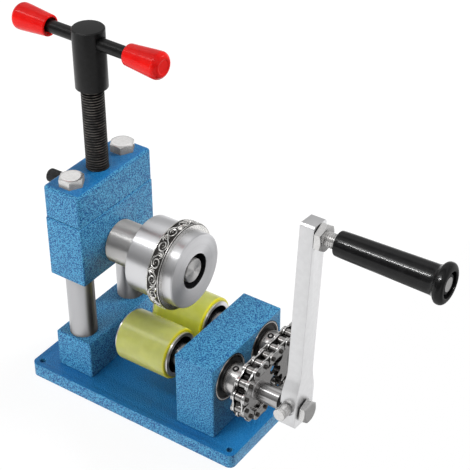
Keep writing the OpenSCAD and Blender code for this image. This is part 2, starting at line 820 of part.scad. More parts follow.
// A sprocket with its hub towards the block; the gaps sit under the chain rollers
module sprocket(side, gap_angle) {
    y = side * axle_span / 2;
    tip_r = pitch_r + chain_roller_d / 2 - tooth_short;
    seat_r = chain_roller_d / 2 + tooth_gap;
    tooth_x0 = chain_x - tooth_w / 2;
    // The first roller of the straight run, seen from the gap that it has left
    leave_r = norm([pitch_r, pitch]);
    leave_angle = step - atan(pitch / pitch_r);
    leave_out = leave_r * cos(leave_angle) - pitch_r;
    leave_side = leave_r * sin(leave_angle);
    difference() {
        union() {
            along_x(tooth_x0, y, axle_z) rotate_extrude() polygon([[0, 0], [tip_r - tooth_bevel, 0],
                [tip_r, tooth_bevel], [tip_r, tooth_w - tooth_bevel], [tip_r - tooth_bevel, tooth_w],
                [0, tooth_w]]);
            bar_x(block_x1 + hub_gap, tooth_x0, y, axle_z, sprocket_hub_d);
        }
        for (i = [0:teeth - 1]) along_x(tooth_x0 - over, y, axle_z)
            rotate(gap_angle + 90 + i * step) {
                translate([pitch_r, 0, 0]) cylinder(h = tooth_w + 2 * over, r = seat_r);
                // Room for a roller on its way out to the straight run, on either side
                for (way = [-1, 1], share = [leave_share, 1])
                    translate([pitch_r + share * leave_out, share * way * leave_side, 0])
                        cylinder(h = tooth_w + 2 * over, r = seat_r);
            }
        bar_x(block_x1, chain_x + tooth_w, y, axle_z, bearing_bore);
        translate([set_screw_x, y, axle_z]) rotate([set_screw_lean, 0, 0])
            cylinder(h = sprocket_hub_d, d = set_screw_d + 2 * fixed_fit);
    }
}
set_screw_x = block_x1 + (chain_out - tooth_w / 2) * set_screw_share;

// The headless screw that clamps a sprocket hub to its shaft
module set_screw(side) {
    color("dimgray") translate([set_screw_x, side * axle_span / 2, axle_z]) rotate([set_screw_lean, 0, 0])
        translate([0, 0, bearing_bore / 2]) cylinder(h = set_screw_l, d = set_screw_d);
}

module drive_shaft() {
    sprocket_x1 = chain_x + tooth_w / 2;
    shoulder_x = arm_x0 - arm_neck_l;
    y = -axle_span / 2;
    color("silver") difference() {
        union() {
            shaft_body(-1, sprocket_x1);
            bar_x(sprocket_x1, shoulder_x, y, axle_z, crank_shaft_d);
            bar_x(shoulder_x, arm_x1 - arm_shaft_end_gap, y, axle_z, crank_bore_d);
        }
        bar_x(arm_x1 - end_bolt_l - tap_extra, arm_x1 + over, y, axle_z, end_bolt_d + 2 * fixed_fit);
    }
}
// The thinner neck of the shaft in front of the crank arm
arm_neck_l = 5;

module idler_shaft() {
    color("silver") shaft_body(1, chain_x + tooth_w / 2);
}

module drive_bearing_inners() { shaft_bearing_inners(-1); }
module idler_bearing_inners() { shaft_bearing_inners(1); }
module drive_roller_core() { color("silver") roller_core(-1); }
module idler_roller_core() { color("silver") roller_core(1); }
module drive_roller_sleeve() { roller_sleeve(-1); }
module idler_roller_sleeve() { roller_sleeve(1); }
module drive_roller_clip() { roller_clip(-1); }
module idler_roller_clip() { roller_clip(1); }
module drive_sprocket() { color("silver") sprocket(-1, step / 2); }
module idler_sprocket() { color("silver") sprocket(1, 0); }
module drive_set_screw() { set_screw(-1); }
module idler_set_screw() { set_screw(1); }

// Places a chain piece drawn along Y from pin i towards pin i + 1, with Z across the chain
module at_link(i, across) {
    a = pin_at(i);
    b = pin_at((i + 1) % pins);
    translate([chain_x + across, a[0], a[1]]) rotate([0, 0, 90]) rotate([90, 0, 0])
        rotate(atan2(b[1] - a[1], b[0] - a[0])) children();
}

// A link plate: two round ends and a narrower waist, holed at both ends
module link_plate(t, hole) {
    difference() {
        union() {
            for (x = [0, pitch]) translate([x, 0, 0]) cylinder(h = t, d = chain_plate_h);
            translate([0, -chain_plate_h * plate_waist_share / 2, 0])
                cube([pitch, chain_plate_h * plate_waist_share, t]);
        }
        for (x = [0, pitch]) translate([x, 0, -over]) cylinder(h = t + 2 * over, d = hole);
    }
}

inner_plate_x = chain_inner_w / 2;
outer_plate_x = inner_plate_x + inner_plate_t + plate_gap;

module chain_inner_plates() {
    color("silver") for (i = [0:pins - 1]) if (i != offset_link && !link_is_outer(i)) {
        at_link(i, inner_plate_x) link_plate(inner_plate_t, chain_bush_d + 2 * fixed_fit);
        at_link(i, -inner_plate_x - inner_plate_t) link_plate(inner_plate_t, chain_bush_d + 2 * fixed_fit);
    }
}

module chain_outer_plates() {
    color("silver") for (i = [0:pins - 1]) if (i != offset_link && link_is_outer(i)) {
        at_link(i, outer_plate_x) link_plate(outer_plate_t, chain_pin_d + 2 * fixed_fit);
        at_link(i, -outer_plate_x - outer_plate_t) link_plate(outer_plate_t, chain_pin_d + 2 * fixed_fit);
    }
}

// The offset link's two cranked plates: wide at their first pin, narrow at the second
module offset_plate() {
    t = inner_plate_t;
    w = chain_plate_h * plate_waist_share;
    jog = outer_plate_x - inner_plate_x;
    x0 = pitch * jog_share;
    x1 = pitch * (1 - jog_share);
    difference() {
        union() {
            translate([0, 0, jog]) cylinder(h = t, d = chain_plate_h);
            translate([pitch, 0, 0]) cylinder(h = t, d = chain_plate_h);
            translate([0, w / 2, 0]) rotate([90, 0, 0]) linear_extrude(w)
                polygon([[0, jog], [x0, jog], [x1, 0], [pitch, 0], [pitch, t], [x1, t], [x0, jog + t],
                    [0, jog + t]]);
        }
        translate([0, 0, -over]) cylinder(h = jog + t + 2 * over, d = chain_pin_d + 2 * fixed_fit);
        translate([pitch, 0, -over]) cylinder(h = t + 2 * over, d = chain_bush_d + 2 * fixed_fit);
        translate([0, 0, -over]) cylinder(h = jog + over, d = chain_plate_h + 2 * plate_gap);
        translate([pitch, 0, t]) cylinder(h = jog + over, d = chain_plate_h + 2 * plate_gap);
    }
}
jog_share = 0.4;

module chain_offset_plates() {
    color("silver") {
        at_link(offset_link, inner_plate_x) offset_plate();
        at_link(offset_link, -inner_plate_x) mirror([0, 0, 1]) offset_plate();
    }
}

// Bushes in the inner plates, the rollers that turn on them, and the pins
module chain_bushes() {
    l = chain_inner_w + 2 * inner_plate_t;
    color("gray") for (i = [0:pins - 1]) {
        p = pin_at(i);
        ring_x(chain_x - l / 2, chain_x + l / 2, p[0], p[1], chain_bush_d, chain_pin_d + 2 * fixed_fit);
    }
}

module chain_rollers() {
    l = chain_inner_w - 2 * tooth_gap;
    color("silver") for (i = [0:pins - 1]) {
        p = pin_at(i);
        ring_x(chain_x - l / 2, chain_x + l / 2, p[0], p[1], chain_roller_d, chain_bush_d + 2 * fixed_fit);
    }
}

module chain_pins() {
    color("gray") for (i = [0:pins - 1]) {
        p = pin_at(i);
        bar_x(chain_x - chain_pin_l / 2, chain_x + chain_pin_l / 2, p[0], p[1], chain_pin_d);
    }
}

// Places what is drawn with the crank arm upright at the drive shaft, leaning as at rest
module at_crank() {
    translate([0, -axle_span / 2, axle_z]) rotate([-crank_lean, 0, 0]) children();
}

// Half the width of the arm at a height: the wide foot blends into the bar
function arm_half(share) = arm_w / 2 + (arm_foot_w - arm_w) / 2 * (1 + cos(180 * share)) / 2;

module crank_arm() {
    top = crank_throw + arm_top;
    blend = [for (i = [0:arc_steps]) i / arc_steps];
    right = concat([[arm_foot_w / 2 - arm_corner, -arm_foot_drop],
            [arm_foot_w / 2, arm_corner - arm_foot_drop]],
        [for (s = blend) [arm_half(s), arm_foot_rise + s * arm_blend_l]],
        [[arm_w / 2, top - arm_corner], [arm_w / 2 - arm_corner, top]]);
    left = [for (i = [len(right) - 1:-1:0]) [-right[i][0], right[i][1]]];
    side_top = arm_foot_rise + arm_blend_l;
    color("silver") at_crank() difference() {
        intersection() {
            translate([arm_x0, 0, 0]) rotate([90, 0, 90]) linear_extrude(arm_t)
                polygon(concat(right, left));
            translate([0, arm_foot_w, 0]) rotate([90, 0, 0]) linear_extrude(2 * arm_foot_w)
                polygon([[arm_x0, -arm_foot_drop], [arm_x1, -arm_foot_drop], [arm_x1, top],
                    [arm_x0 + arm_set_back, top], [arm_x0 + arm_set_back, side_top],
                    [arm_x0, arm_foot_rise]]);
        }
        bar_x(arm_x0 - over, arm_x1 + over, 0, 0, crank_bore_d + 2 * fixed_fit);
        bar_x(arm_x0 - over, arm_x1 + over, 0, crank_throw, spindle_d + 2 * fixed_fit);
        translate([set_bolt_x, 0, set_bolt_rise]) rotate([90, 0, 0])
            cylinder(h = arm_foot_w, d = set_bolt_d + 2 * fixed_fit);
        translate([set_bolt_x, -arm_foot_w / 2 + set_bolt_ring_t, set_bolt_rise]) rotate([90, 0, 0])
            cylinder(h = arm_foot_w, d = set_bolt_ring_d);
    }
}
set_bolt_x = arm_x0 + arm_t * set_bolt_share;

// The bolt in the end of the shaft that keeps the arm on
module crank_end_bolt() {
    color("silver") at_crank() {
        along_x(arm_x1, 0, 0) rotate(end_bolt_turn) hex_head(end_bolt_af, end_bolt_head_h);
        bar_x(arm_x1 - end_bolt_l, arm_x1, 0, 0, end_bolt_d);
    }
}
end_bolt_turn = 12;

// The bolt that clamps the arm's foot on the shaft
module crank_set_bolt() {
    color("silver") at_crank() translate([set_bolt_x, -crank_bore_d / 2 - fixed_fit, set_bolt_rise])
        rotate([90, 0, 0]) cylinder(h = (arm_foot_w - crank_bore_d) / 2 + set_bolt_out, d = set_bolt_d);
}

// A long bolt through the grip, screwed into the arm and locked by a nut
module handle_spindle() {
    head_x = handle_x1 - handle_recess_t + end_gap;
    color("silver") at_crank() {
        bar_x(arm_x0 + arm_set_back + edge_c, head_x, 0, crank_throw, spindle_d);
        along_x(head_x, 0, crank_throw) hex_head(spindle_head_af, spindle_head_h);
    }
}

module handle_nut() {
    color("silver") at_crank() along_x(arm_x1, 0, crank_throw) difference() {
        hex_head(handle_nut_af, handle_nut_h);
        translate([0, 0, -over]) cylinder(h = handle_nut_h + 2 * over, d = spindle_d + 2 * fixed_fit);
    }
}

// The grip turns on the spindle: a slow taper, a drawn-in throat and a round flare
module handle_grip() {
    r0 = handle_in_d / 2;
    r1 = handle_out_d / 2;
    f = flare_w / 2;
    c = handle_l - f;
    color("black") at_crank() along_x(handle_x0, 0, crank_throw) difference() {
        rotate_extrude() polygon(concat([[0, 0]], arc(r0 - grip_edge_r, grip_edge_r, grip_edge_r, -90, 0),
            [[r1, c - 2 * f]], arc(flare_d / 2 - f, c, f, -flare_lead_in, 90), [[0, handle_l]]));
        translate([0, 0, -over]) cylinder(h = handle_l + 2 * over, d = spindle_d + 2 * run_fit);
        translate([0, 0, handle_l - handle_recess_t])
            cylinder(h = handle_recess_t + over, d = handle_recess_d);
    }
}

base_plate();
base_screws();
foot_block();
guide_posts();
crosshead();
crosshead_bolts();
lock_screw();
sliding_head();
post_bushes();
head_bearing_outers();
head_bearing_balls();
thrust_button();
keeper_halves();
keeper_screws();
press_screw();
screw_hub();
tommy_bar();
bar_grips();
roll_shaft();
head_bearing_inners();
top_roll();
pattern_ring();
roll_clips();
bearing_block();
block_bearing_outers();
block_bearing_balls();
block_bearing_seals();
drive_shaft();
drive_bearing_inners();
drive_roller_core();
drive_roller_sleeve();
drive_roller_clip();
drive_sprocket();
drive_set_screw();
idler_shaft();
idler_bearing_inners();
idler_roller_core();
idler_roller_sleeve();
idler_roller_clip();
idler_sprocket();
idler_set_screw();
chain_inner_plates();
chain_outer_plates();
chain_offset_plates();
chain_bushes();
chain_rollers();
chain_pins();
crank_arm();
crank_end_bolt();
crank_set_bolt();
handle_spindle();
handle_nut();
handle_grip();
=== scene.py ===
import math

import bmesh
import bpy
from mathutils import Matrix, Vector


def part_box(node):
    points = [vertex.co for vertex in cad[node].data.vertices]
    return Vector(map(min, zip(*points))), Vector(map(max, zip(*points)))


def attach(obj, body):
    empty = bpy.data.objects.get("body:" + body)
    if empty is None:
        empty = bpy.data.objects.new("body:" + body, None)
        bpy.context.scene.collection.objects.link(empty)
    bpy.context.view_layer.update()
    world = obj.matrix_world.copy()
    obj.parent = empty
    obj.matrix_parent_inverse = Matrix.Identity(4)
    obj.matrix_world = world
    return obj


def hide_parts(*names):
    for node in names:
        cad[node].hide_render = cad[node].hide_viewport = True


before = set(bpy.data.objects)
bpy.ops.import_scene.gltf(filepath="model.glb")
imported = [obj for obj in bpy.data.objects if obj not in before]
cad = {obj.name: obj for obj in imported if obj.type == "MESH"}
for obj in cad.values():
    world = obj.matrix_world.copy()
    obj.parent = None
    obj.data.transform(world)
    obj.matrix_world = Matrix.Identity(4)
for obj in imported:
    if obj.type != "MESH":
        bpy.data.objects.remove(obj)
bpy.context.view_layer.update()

# Base plate and blocks.
# The base plate, foot block, crosshead, sliding head and bearing block are milled steel.
# They are sprayed with blue hammer paint, which draws together in small dimples with
# pale crowns. Screws from below hold the foot block and the bearing block to the plate.
MM = 0.001
X, Y, Z = Vector((1, 0, 0)), Vector((0, 1, 0)), Vector((0, 0, 1))


def linear(hex_colour):
    """An sRGB hex colour as linear red, green, blue and alpha."""
    parts = [int(hex_colour[i:i + 2], 16) / 255 for i in (1, 3, 5)]
    return [p / 12.92 if p <= 0.04045 else ((p + 0.055) / 1.055) ** 2.4 for p in parts] + [1]


def add(tree, kind, settings=None, **sockets):
    """Adds a shader node. A socket takes a value, or (node, output) to link; _n is socket number n."""
    node = tree.nodes.new("ShaderNode" + kind)
    for name, value in (settings or {}).items():
        setattr(node, name, value)
    for name, value in sockets.items():
        socket = node.inputs[int(name[1:]) if name[0] == "_" else name.replace("_", " ")]
        if isinstance(value, tuple) and isinstance(value[0], bpy.types.Node):
            tree.links.new(value[0].outputs[value[1]], socket)
        else:
            socket.default_value = value
    return node


def new_finish(name, colour, **sockets):
    """Starts a material: its node tree and its shader, with the uniform values set on the shader."""
    finish = bpy.data.materials.new(name)
    finish.use_nodes = True
    tree = finish.node_tree
    tree.nodes.clear()
    shader = add(tree, "BsdfPrincipled", Base_Color=linear(colour), **sockets)
    add(tree, "OutputMaterial", Surface=(shader, "BSDF"))
    return finish, tree, shader


def wire(tree, shader, **sockets):
    """Links outputs to the shader's sockets."""
    for name, (node, output) in sockets.items():
        tree.links.new(node.outputs[output], shader.inputs[name.replace("_", " ")])


def two_tone(tree, factor, low, high, dark, pale):
    """A colour between two sRGB colours as a value goes from low to high."""
    share = add(tree, "MapRange", {"interpolation_type": "SMOOTHSTEP"}, Value=factor,
                From_Min=low, From_Max=high)
    return add(tree, "Mix", {"data_type": "RGBA"}, _0=(share, 0), _6=linear(dark), _7=linear(pale))


# Hammer paint draws together in dimples under a glossy skin. Each crown is painted pale, partly the
# paint's own paler tone and partly a painted glint, and each dimple stays deep in colour.
dimple, dimple_depth = 0.78, 0.5
hammer_paint, tree, shader = new_finish(
    "blue_hammer_paint", "#177FB2", Metallic=0.0, Roughness=0.36, Specular_IOR_Level=0.28,
    Coat_Weight=0.1, Coat_Roughness=0.2)
place = add(tree, "TexCoord")
dimples = add(tree, "TexNoise", Vector=(place, "Object"), Scale=1 / (dimple * MM), Detail=1.0, Roughness=0.4)
flecked = two_tone(tree, (dimples, "Fac"), 0.42, 0.575, "#054E89", "#52A1C9")
# The level tops of the base and the crosshead are painted a smooth, deeper blue without flecks: painted
# shade and flat light, for faces on which the lamps show no dimples.
# They are the only level faces that lie this far above or below the machine's middle.
middle_z, tops_beyond, level_above, shaded_top_share = 85, 73.5, 0.9, 0.7
spot = add(tree, "SeparateXYZ", Vector=(place, "Object"))
away = add(tree, "Math", {"operation": "SUBTRACT"}, _0=(spot, "Z"), _1=middle_z * MM)
away = add(tree, "Math", {"operation": "ABSOLUTE"}, _0=(away, 0))
ends = add(tree, "Math", {"operation": "GREATER_THAN"}, _0=(away, 0), _1=tops_beyond * MM)
facing = add(tree, "NewGeometry")
facing = add(tree, "SeparateXYZ", Vector=(facing, "True Normal"))
level = add(tree, "Math", {"operation": "GREATER_THAN"}, _0=(facing, "Z"), _1=level_above)
shaded_tops = add(tree, "Math", {"operation": "MULTIPLY"}, _0=(ends, 0), _1=(level, 0))
shaded_tops = add(tree, "Math", {"operation": "MULTIPLY"}, _0=(shaded_tops, 0), _1=shaded_top_share)
paint = add(tree, "Mix", {"data_type": "RGBA"}, _0=(shaded_tops, 0), _6=(flecked, 2), _7=linear("#0F76BC"))
# In reflections the paint is painted a dark neutral grey without its blue: a painted reflection, which
# darkens the bright metal beside it.
rays = add(tree, "LightPath")
painted_reflection = add(tree, "Mix", {"data_type": "RGBA"}, _0=(rays, "Is Glossy Ray"), _6=(paint, 2),
               _7=linear("#777A7D"))
bump = add(tree, "Bump", Strength=1.0, Distance=dimple_depth * MM, Height=(dimples, "Fac"))
wire(tree, shader, Base_Color=(painted_reflection, 2), Normal=(bump, "Normal"))


def shade(mesh, crease=34):
    """Smooth shading, with every edge sharper than the crease angle left crisp."""
    mesh.shade_smooth()
    mesh.set_sharp_from_angle(angle=math.radians(crease))


def take_place(piece, node, finishes, body):
    """Gives a piece its finishes and a body to ride on, and puts it in place of a CAD piece."""
    piece.data.materials.clear()
    for finish in finishes:
        piece.data.materials.append(finish)
    shade(piece.data)
    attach(piece, body)
    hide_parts(node)
    return piece


def drawn_in(data, radius, top):
    """Rounds a block's upright outer edges to a radius in mm, and its top edges where top is true."""
    mesh = bmesh.new()
    mesh.from_mesh(data)
    reach = radius * MM
    low = Vector([min(v.co[i] for v in mesh.verts) for i in range(3)])
    high = Vector([max(v.co[i] for v in mesh.verts) for i in range(3)])
    # Cuts stand where points of the arc will be drawn in, and one more keeps the flat face flat.
    arc_steps, flat_cut = 4, -0.2
    shares = [flat_cut] + [math.tan(math.radians(45 * k / arc_steps)) for k in range(arc_steps)]
    for axis, way in enumerate((X, Y, Z) if top else (X, Y)):
        for share in shares:
            inset = reach * (1 - share)
            for at in (low[axis] + inset, high[axis] - inset):
                parts = mesh.verts[:] + mesh.edges[:] + mesh.faces[:]
                bmesh.ops.bisect_plane(mesh, geom=parts, plane_co=way * at, plane_no=way)
    inner_low, inner_high = low + (X + Y) * reach, high - (X + Y + Z * top) * reach
    for vertex in mesh.verts:
        core = Vector([min(max(vertex.co[i], inner_low[i]), inner_high[i]) for i in range(3)])
        out = vertex.co - core
        if out.length > reach:
            vertex.co = core + out.normalized() * reach
    mesh.to_mesh(data)
    mesh.free()


def softened(node, width, finish, body, corner=0, top=False):
    """A CAD piece with its edges broken: a copy of its mesh with a rounded bevel in mm."""
    weld, same_plane, sharp, bevel_steps = 0.002, 0.5, 32, 3
    piece = bpy.data.objects.new(node + "_part", cad[node].data.copy())
    bpy.context.scene.collection.objects.link(piece)
    mesh = bmesh.new()
    mesh.from_mesh(piece.data)
    bmesh.ops.remove_doubles(mesh, verts=mesh.verts, dist=weld * MM)
    bmesh.ops.dissolve_limit(mesh, angle_limit=math.radians(same_plane), verts=mesh.verts, edges=mesh.edges)
    mesh.to_mesh(piece.data)
    mesh.free()
    bevel = piece.modifiers.new("edges", "BEVEL")
    bevel.width = width * MM
    bevel.segments = bevel_steps
    bevel.limit_method = "ANGLE"
    bevel.angle_limit = math.radians(sharp)
    piece.data = bpy.data.meshes.new_from_object(piece.evaluated_get(bpy.context.evaluated_depsgraph_get()))
    piece.modifiers.clear()
    if corner:
        drawn_in(piece.data, corner, top)
    return take_place(piece, node, [finish], body)


for block, body, edge, corner in [("base_plate", "frame", 0.9, 5.0), ("foot_block", "frame", 0.7, 0),
                                  ("crosshead", "frame", 0.8, 2.6), ("bearing_block", "frame", 0.7, 0),
                                  ("sliding_head", "head", 0.8, 0)]:
    softened(block, edge, hammer_paint, body, corner, top=block == "crosshead")

# Block screws.
# Seven countersunk steel screws, blackened and oiled, come up through the base plate
# into the posts and the blocks. Only their heads show, from underneath.


def mottled(name, colour, tones, grain, detail, spread=(0.3, 0.7), sheen=None, relief=None, rough=0.5,
            **sockets):
    """A finish that drifts between two tones over a grain in mm, and may drift in sheen and in height."""
    finish, tree, shader = new_finish(name, colour, **sockets)
    place = add(tree, "TexCoord")
    cloud = add(tree, "TexNoise", Vector=(place, "Object"), Scale=1 / (grain * MM), Detail=detail,
                Roughness=rough)
    wire(tree, shader, Base_Color=(two_tone(tree, (cloud, "Fac"), *spread, *tones), 2))
    if sheen:
        gloss = add(tree, "MapRange", Value=(cloud, "Fac"), To_Min=sheen[0], To_Max=sheen[1])
        wire(tree, shader, Roughness=(gloss, 0))
    if relief:
        bump = add(tree, "Bump", Strength=relief[0], Distance=relief[1] * MM, Height=(cloud, "Fac"))
        wire(tree, shader, Normal=(bump, "Normal"))
    return finish


def dress(node, finish):
    """Gives a CAD piece that stays as it is its finish."""
    cad[node].data.materials.clear()
    cad[node].data.materials.append(finish)
    shade(cad[node].data)


# Black oxide is a thin oiled coat: almost black, with a soft and slightly uneven sheen.
black_oxide = mottled("black_oxide_steel", "#141415", ("#0D0D0E", "#1F1F21"), 2.5, 4.0, sheen=(0.3, 0.46),
                      Metallic=0.0, Roughness=0.38, Specular_IOR_Level=0.3)
dress("base_screws", black_oxide)

# Guide posts and bushes.
# Two ground and polished steel bars, 20 mm thick, stand in the foot block and carry the
# crosshead. Sintered bronze bushes pressed into the head slide on them.


def rounded(outline, steps=4):
    """Rounds the corners of an outline where a point gives a corner size as its third number."""
    # A corner takes no more than about half of the edge on either side of it.
    most = 0.49
    points = []
    for i, point in enumerate(outline):
        corner = Vector(point[:2])
        if len(point) < 3:
            points.append(corner)
            continue
        before = Vector(outline[i - 1][:2]) - corner
        after = Vector(outline[(i + 1) % len(outline)][:2]) - corner
        start = corner + before.normalized() * min(point[2], before.length * most)
        end = corner + after.normalized() * min(point[2], after.length * most)
        for step in range(steps + 1):
            t = step / steps
            points.append((1 - t) ** 2 * start + 2 * t * (1 - t) * corner + t * t * end)
    return points


def lathe(mesh, outline, foot, along, sides=96, hollow=False):
    """Turns an outline of (radius, distance) in mm about an axis from a foot point."""
    turn = Z.rotation_difference(along).to_matrix()
    rings = []
    for radius, distance in rounded(outline):
        if radius < 1e-6:
            rings.append([mesh.verts.new(foot + along * distance * MM)])
            continue
        rings.append([mesh.verts.new(foot + turn @ Vector((
            radius * math.cos(2 * math.pi * k / sides), radius * math.sin(2 * math.pi * k / sides),
            distance)) * MM) for k in range(sides)])
    pairs = list(zip(rings, rings[1:] + rings[:1]))
    for low, high in pairs if hollow else pairs[:-1]:
        for k in range(sides):
            n = (k + 1) % sides
            corners = [low[k % len(low)], low[n % len(low)], high[n % len(high)], high[k % len(high)]]
            unique = [v for i, v in enumerate(corners) if v not in corners[:i]]
            if len(unique) > 2:
                mesh.faces.new(unique)


def make(node, mesh, finishes, body):
    """Turns a mesh into a finished piece that rides on a body in place of a CAD piece."""
    bmesh.ops.recalc_face_normals(mesh, faces=mesh.faces)
    data = bpy.data.meshes.new(node + "_part")
    mesh.to_mesh(data)
    mesh.free()
    piece = bpy.data.objects.new(node + "_part", data)
    bpy.context.scene.collection.objects.link(piece)
    return take_place(piece, node, finishes, body)


def refinish(piece, test, finish=1):
    """Gives the faces that pass a test another of the piece's finishes, by its number."""
    for face in piece.data.polygons:
        if test(face):
            face.material_index = finish


def turned_steel(name, colour, roughness, centre, axis, depth=0.3, streak=0.85):
    """Steel turned or ground about an axis: its fine grooves run round it and spread a gleam across them."""
    finish, tree, shader = new_finish(name, colour, Metallic=1.0, Roughness=roughness, Anisotropic=streak,
                                      Anisotropic_Rotation=0.25)
    place = add(tree, "TexCoord")
    arm = add(tree, "VectorMath", {"operation": "SUBTRACT"}, _0=(place, "Object"), _1=centre)
    along = add(tree, "VectorMath", {"operation": "DOT_PRODUCT"}, _0=(arm, 0), _1=axis)
    across = add(tree, "VectorMath", {"operation": "CROSS_PRODUCT"}, _0=(arm, 0), _1=axis)
    way = add(tree, "VectorTransform", {
        "vector_type": "VECTOR", "convert_from": "OBJECT", "convert_to": "WORLD"}, Vector=(across, 0))
    radius = add(tree, "VectorMath", {"operation": "LENGTH"}, _0=(across, 0))
    groove = add(tree, "CombineXYZ", X=(along, "Value"), Y=(radius, "Value"))
    # The real feed marks are 0.05 mm apart, and are drawn at 0.4 mm so that they show.
    feed, feed_depth, feed_strength, uneven = 0.4, 0.03, 0.12, 0.15
    lines = add(tree, "TexNoise", Vector=(groove, 0), Scale=1 / (feed * MM), Detail=2.0, Roughness=0.6)
    sheen = add(tree, "MapRange", Value=(lines, "Fac"), From_Min=0.3, From_Max=0.7,
                To_Min=roughness * (1 - uneven), To_Max=roughness * (1 + uneven))
    bump = add(tree, "Bump", Strength=feed_strength * depth, Distance=feed_depth * MM, Height=(lines, "Fac"))
    wire(tree, shader, Roughness=(sheen, 0), Normal=(bump, "Normal"), Tangent=(way, 0))
    return finish


post_radius = 10
post_y = 27.5 * MM
low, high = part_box("guide_posts")
post_x = (low.x + high.x) / 2
post_length = (high.z - low.z) / MM
mesh = bmesh.new()
for side in (-1, 1):
    lathe(mesh, [(0, 0), (post_radius, 0, 0.5), (post_radius, post_length, 0.5), (0, post_length)],
          Vector((post_x, side * post_y, low.z)), Z)
# Ground and polished bar: fine grooves round it, a soft gleam along it. The side towards the
# rollers is painted darker: painted shade and a painted dark reflection on that side.
shade_way, shade_from, shade_to = (0.826, 0.563, 0), 2.5, 7.5
ground_posts = []
for side, y in (("near", -1), ("far", 1)):
    post_foot = (post_x, y * post_y, 0)
    finish = turned_steel(f"ground_post_steel_{side}", "#C7C7C9", 0.4, post_foot, (0, 0, 1), 0.15)
    tree = finish.node_tree
    place = add(tree, "TexCoord")
    arm = add(tree, "VectorMath", {"operation": "SUBTRACT"}, _0=(place, "Object"), _1=post_foot)
    across = add(tree, "VectorMath", {"operation": "DOT_PRODUCT"}, _0=(arm, 0), _1=shade_way)
    painted_shade = two_tone(tree, (across, "Value"), shade_from * MM, shade_to * MM, "#CBCBCD", "#807D7C")
    wire(tree, tree.nodes["Principled BSDF"], Base_Color=(painted_shade, 2))
    ground_posts.append(finish)
posts = make("guide_posts", mesh, ground_posts, "frame")
refinish(posts, lambda face: face.center.y > 0)

# Sintered bronze is dull and open-pored, so it shows as brown metal with tiny pits.
pore, pore_depth = 0.5, 0.02
bronze, tree, shader = new_finish("sintered_bronze", "#A8794A", Metallic=1.0, Roughness=0.45)
place = add(tree, "TexCoord")
pores = add(tree, "TexVoronoi", Vector=(place, "Object"), Scale=1 / (pore * MM))
bump = add(tree, "Bump", Strength=0.3, Distance=pore_depth * MM, Height=(pores, "Distance"))
wire(tree, shader, Normal=(bump, "Normal"))
dress("post_bushes", bronze)

# Crosshead bolts.
# Two zinc plated hexagon bolts go down through the crosshead into the tops of the posts.
# Their heads are cold formed, with a turned chamfer that leaves an arc on each flat.

# Bright zinc plate is pale and slightly blue-white, with a faint spangle in its gloss.
zinc_plate = mottled("bright_zinc_plate", "#DADBDD", ("#D3D2D1", "#DAD9D8"), 3, 2.0, sheen=(0.2, 0.28),
                     relief=(0.008, 0.05), Metallic=0.8, Roughness=0.24)


def skin(mesh, rings, closed=True):
    """Joins each ring of points to the next with faces: closed rings, or open rows."""
    for a, b in zip(rings, rings[1:]):
        for k in range(len(a) if closed else len(a) - 1):
            n = (k + 1) % len(a)
            mesh.faces.new([a[k], a[n], b[n], b[k]])


def hexagon(mesh, across, height, foot, along, twist, top_share=0.9, bore=0, dish=0):
    """A hexagon head or nut in mm. Its corners fall away from a round top at 30 degrees."""
    turn = Z.rotation_difference(along).to_matrix()
    sides, flat, weld = 96, across / 2 * top_share, 0.001
    slope, dish_share = math.tan(math.radians(30)), 0.8
    rings = []
    inner = [(bore / 2, 0)] if bore else []
    crown = [(bore / 2, height)] if bore else [(flat * dish_share, height - dish), (0, height - dish)]
    for radius, z in inner + [("hex", 0), ("hex", None), (flat, height)] + crown:
        ring = []
        for k in range(sides):
            angle = 2 * math.pi * k / sides
            r = radius
            if radius == "hex":
                r = across / 2 / math.cos((angle + math.pi / 6) % (math.pi / 3) - math.pi / 6)
            up = height - (r - flat) * slope if z is None else z
            at = Vector((r * math.cos(angle + twist), r * math.sin(angle + twist), up))
            ring.append(mesh.verts.new(foot + turn @ at * MM))
        rings.append(ring)
    skin(mesh, rings + rings[:1] if bore else rings)
    if not bore:
        mesh.faces.new(rings[0])
        bmesh.ops.remove_doubles(mesh, verts=rings[-1], dist=weld * MM)


bolt_flats, bolt_head, bolt_radius, bolt_shank = 16, 6.4, 5, 43.4
low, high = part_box("crosshead_bolts")
seat_z = high.z - bolt_head * MM
mesh = bmesh.new()
for side in (-1, 1):
    seat = Vector((post_x, side * post_y, seat_z))
    hexagon(mesh, bolt_flats, bolt_head, seat, Z, math.radians(30))
    lathe(mesh, [(0, -bolt_shank), (bolt_radius, -bolt_shank, 0.6), (bolt_radius, 0), (0, 0)], seat, Z, 48)
head_bolts = make("crosshead_bolts", mesh, [zinc_plate], "frame")

# Lock screw.
# A blackened thumb screw in the side of the crosshead, with a knurled head. Its shank
# bears on the side of the pressing screw, so that a set depth stays set.


def helix(mesh, foot, along, length, crest, root, pitch, start=0.0, sides=40):
    """A screw thread in mm: one ridge, crest to root, that winds along the axis."""
    turn = Z.rotation_difference(along).to_matrix()
    turns = length / pitch
    count = int(turns * sides)
    half_crest, half_root = 0.12, 0.5
    profile = [(root, -half_root), (crest, -half_crest), (crest, half_crest), (root, half_root)]
    rows = []
    for k in range(count + 1):
        angle = 2 * math.pi * k / sides
        fade = min(1, k / sides, (count - k) / sides)
        row = []
        for radius, shift in profile:
            radius = root + (radius - root) * fade
            z = start + min(max((k / sides + shift) * pitch, 0), length)
            row.append(mesh.verts.new(foot + turn @ Vector((
                radius * math.cos(angle), radius * math.sin(angle), z)) * MM))
        rows.append(row)
    skin(mesh, rows, closed=False)


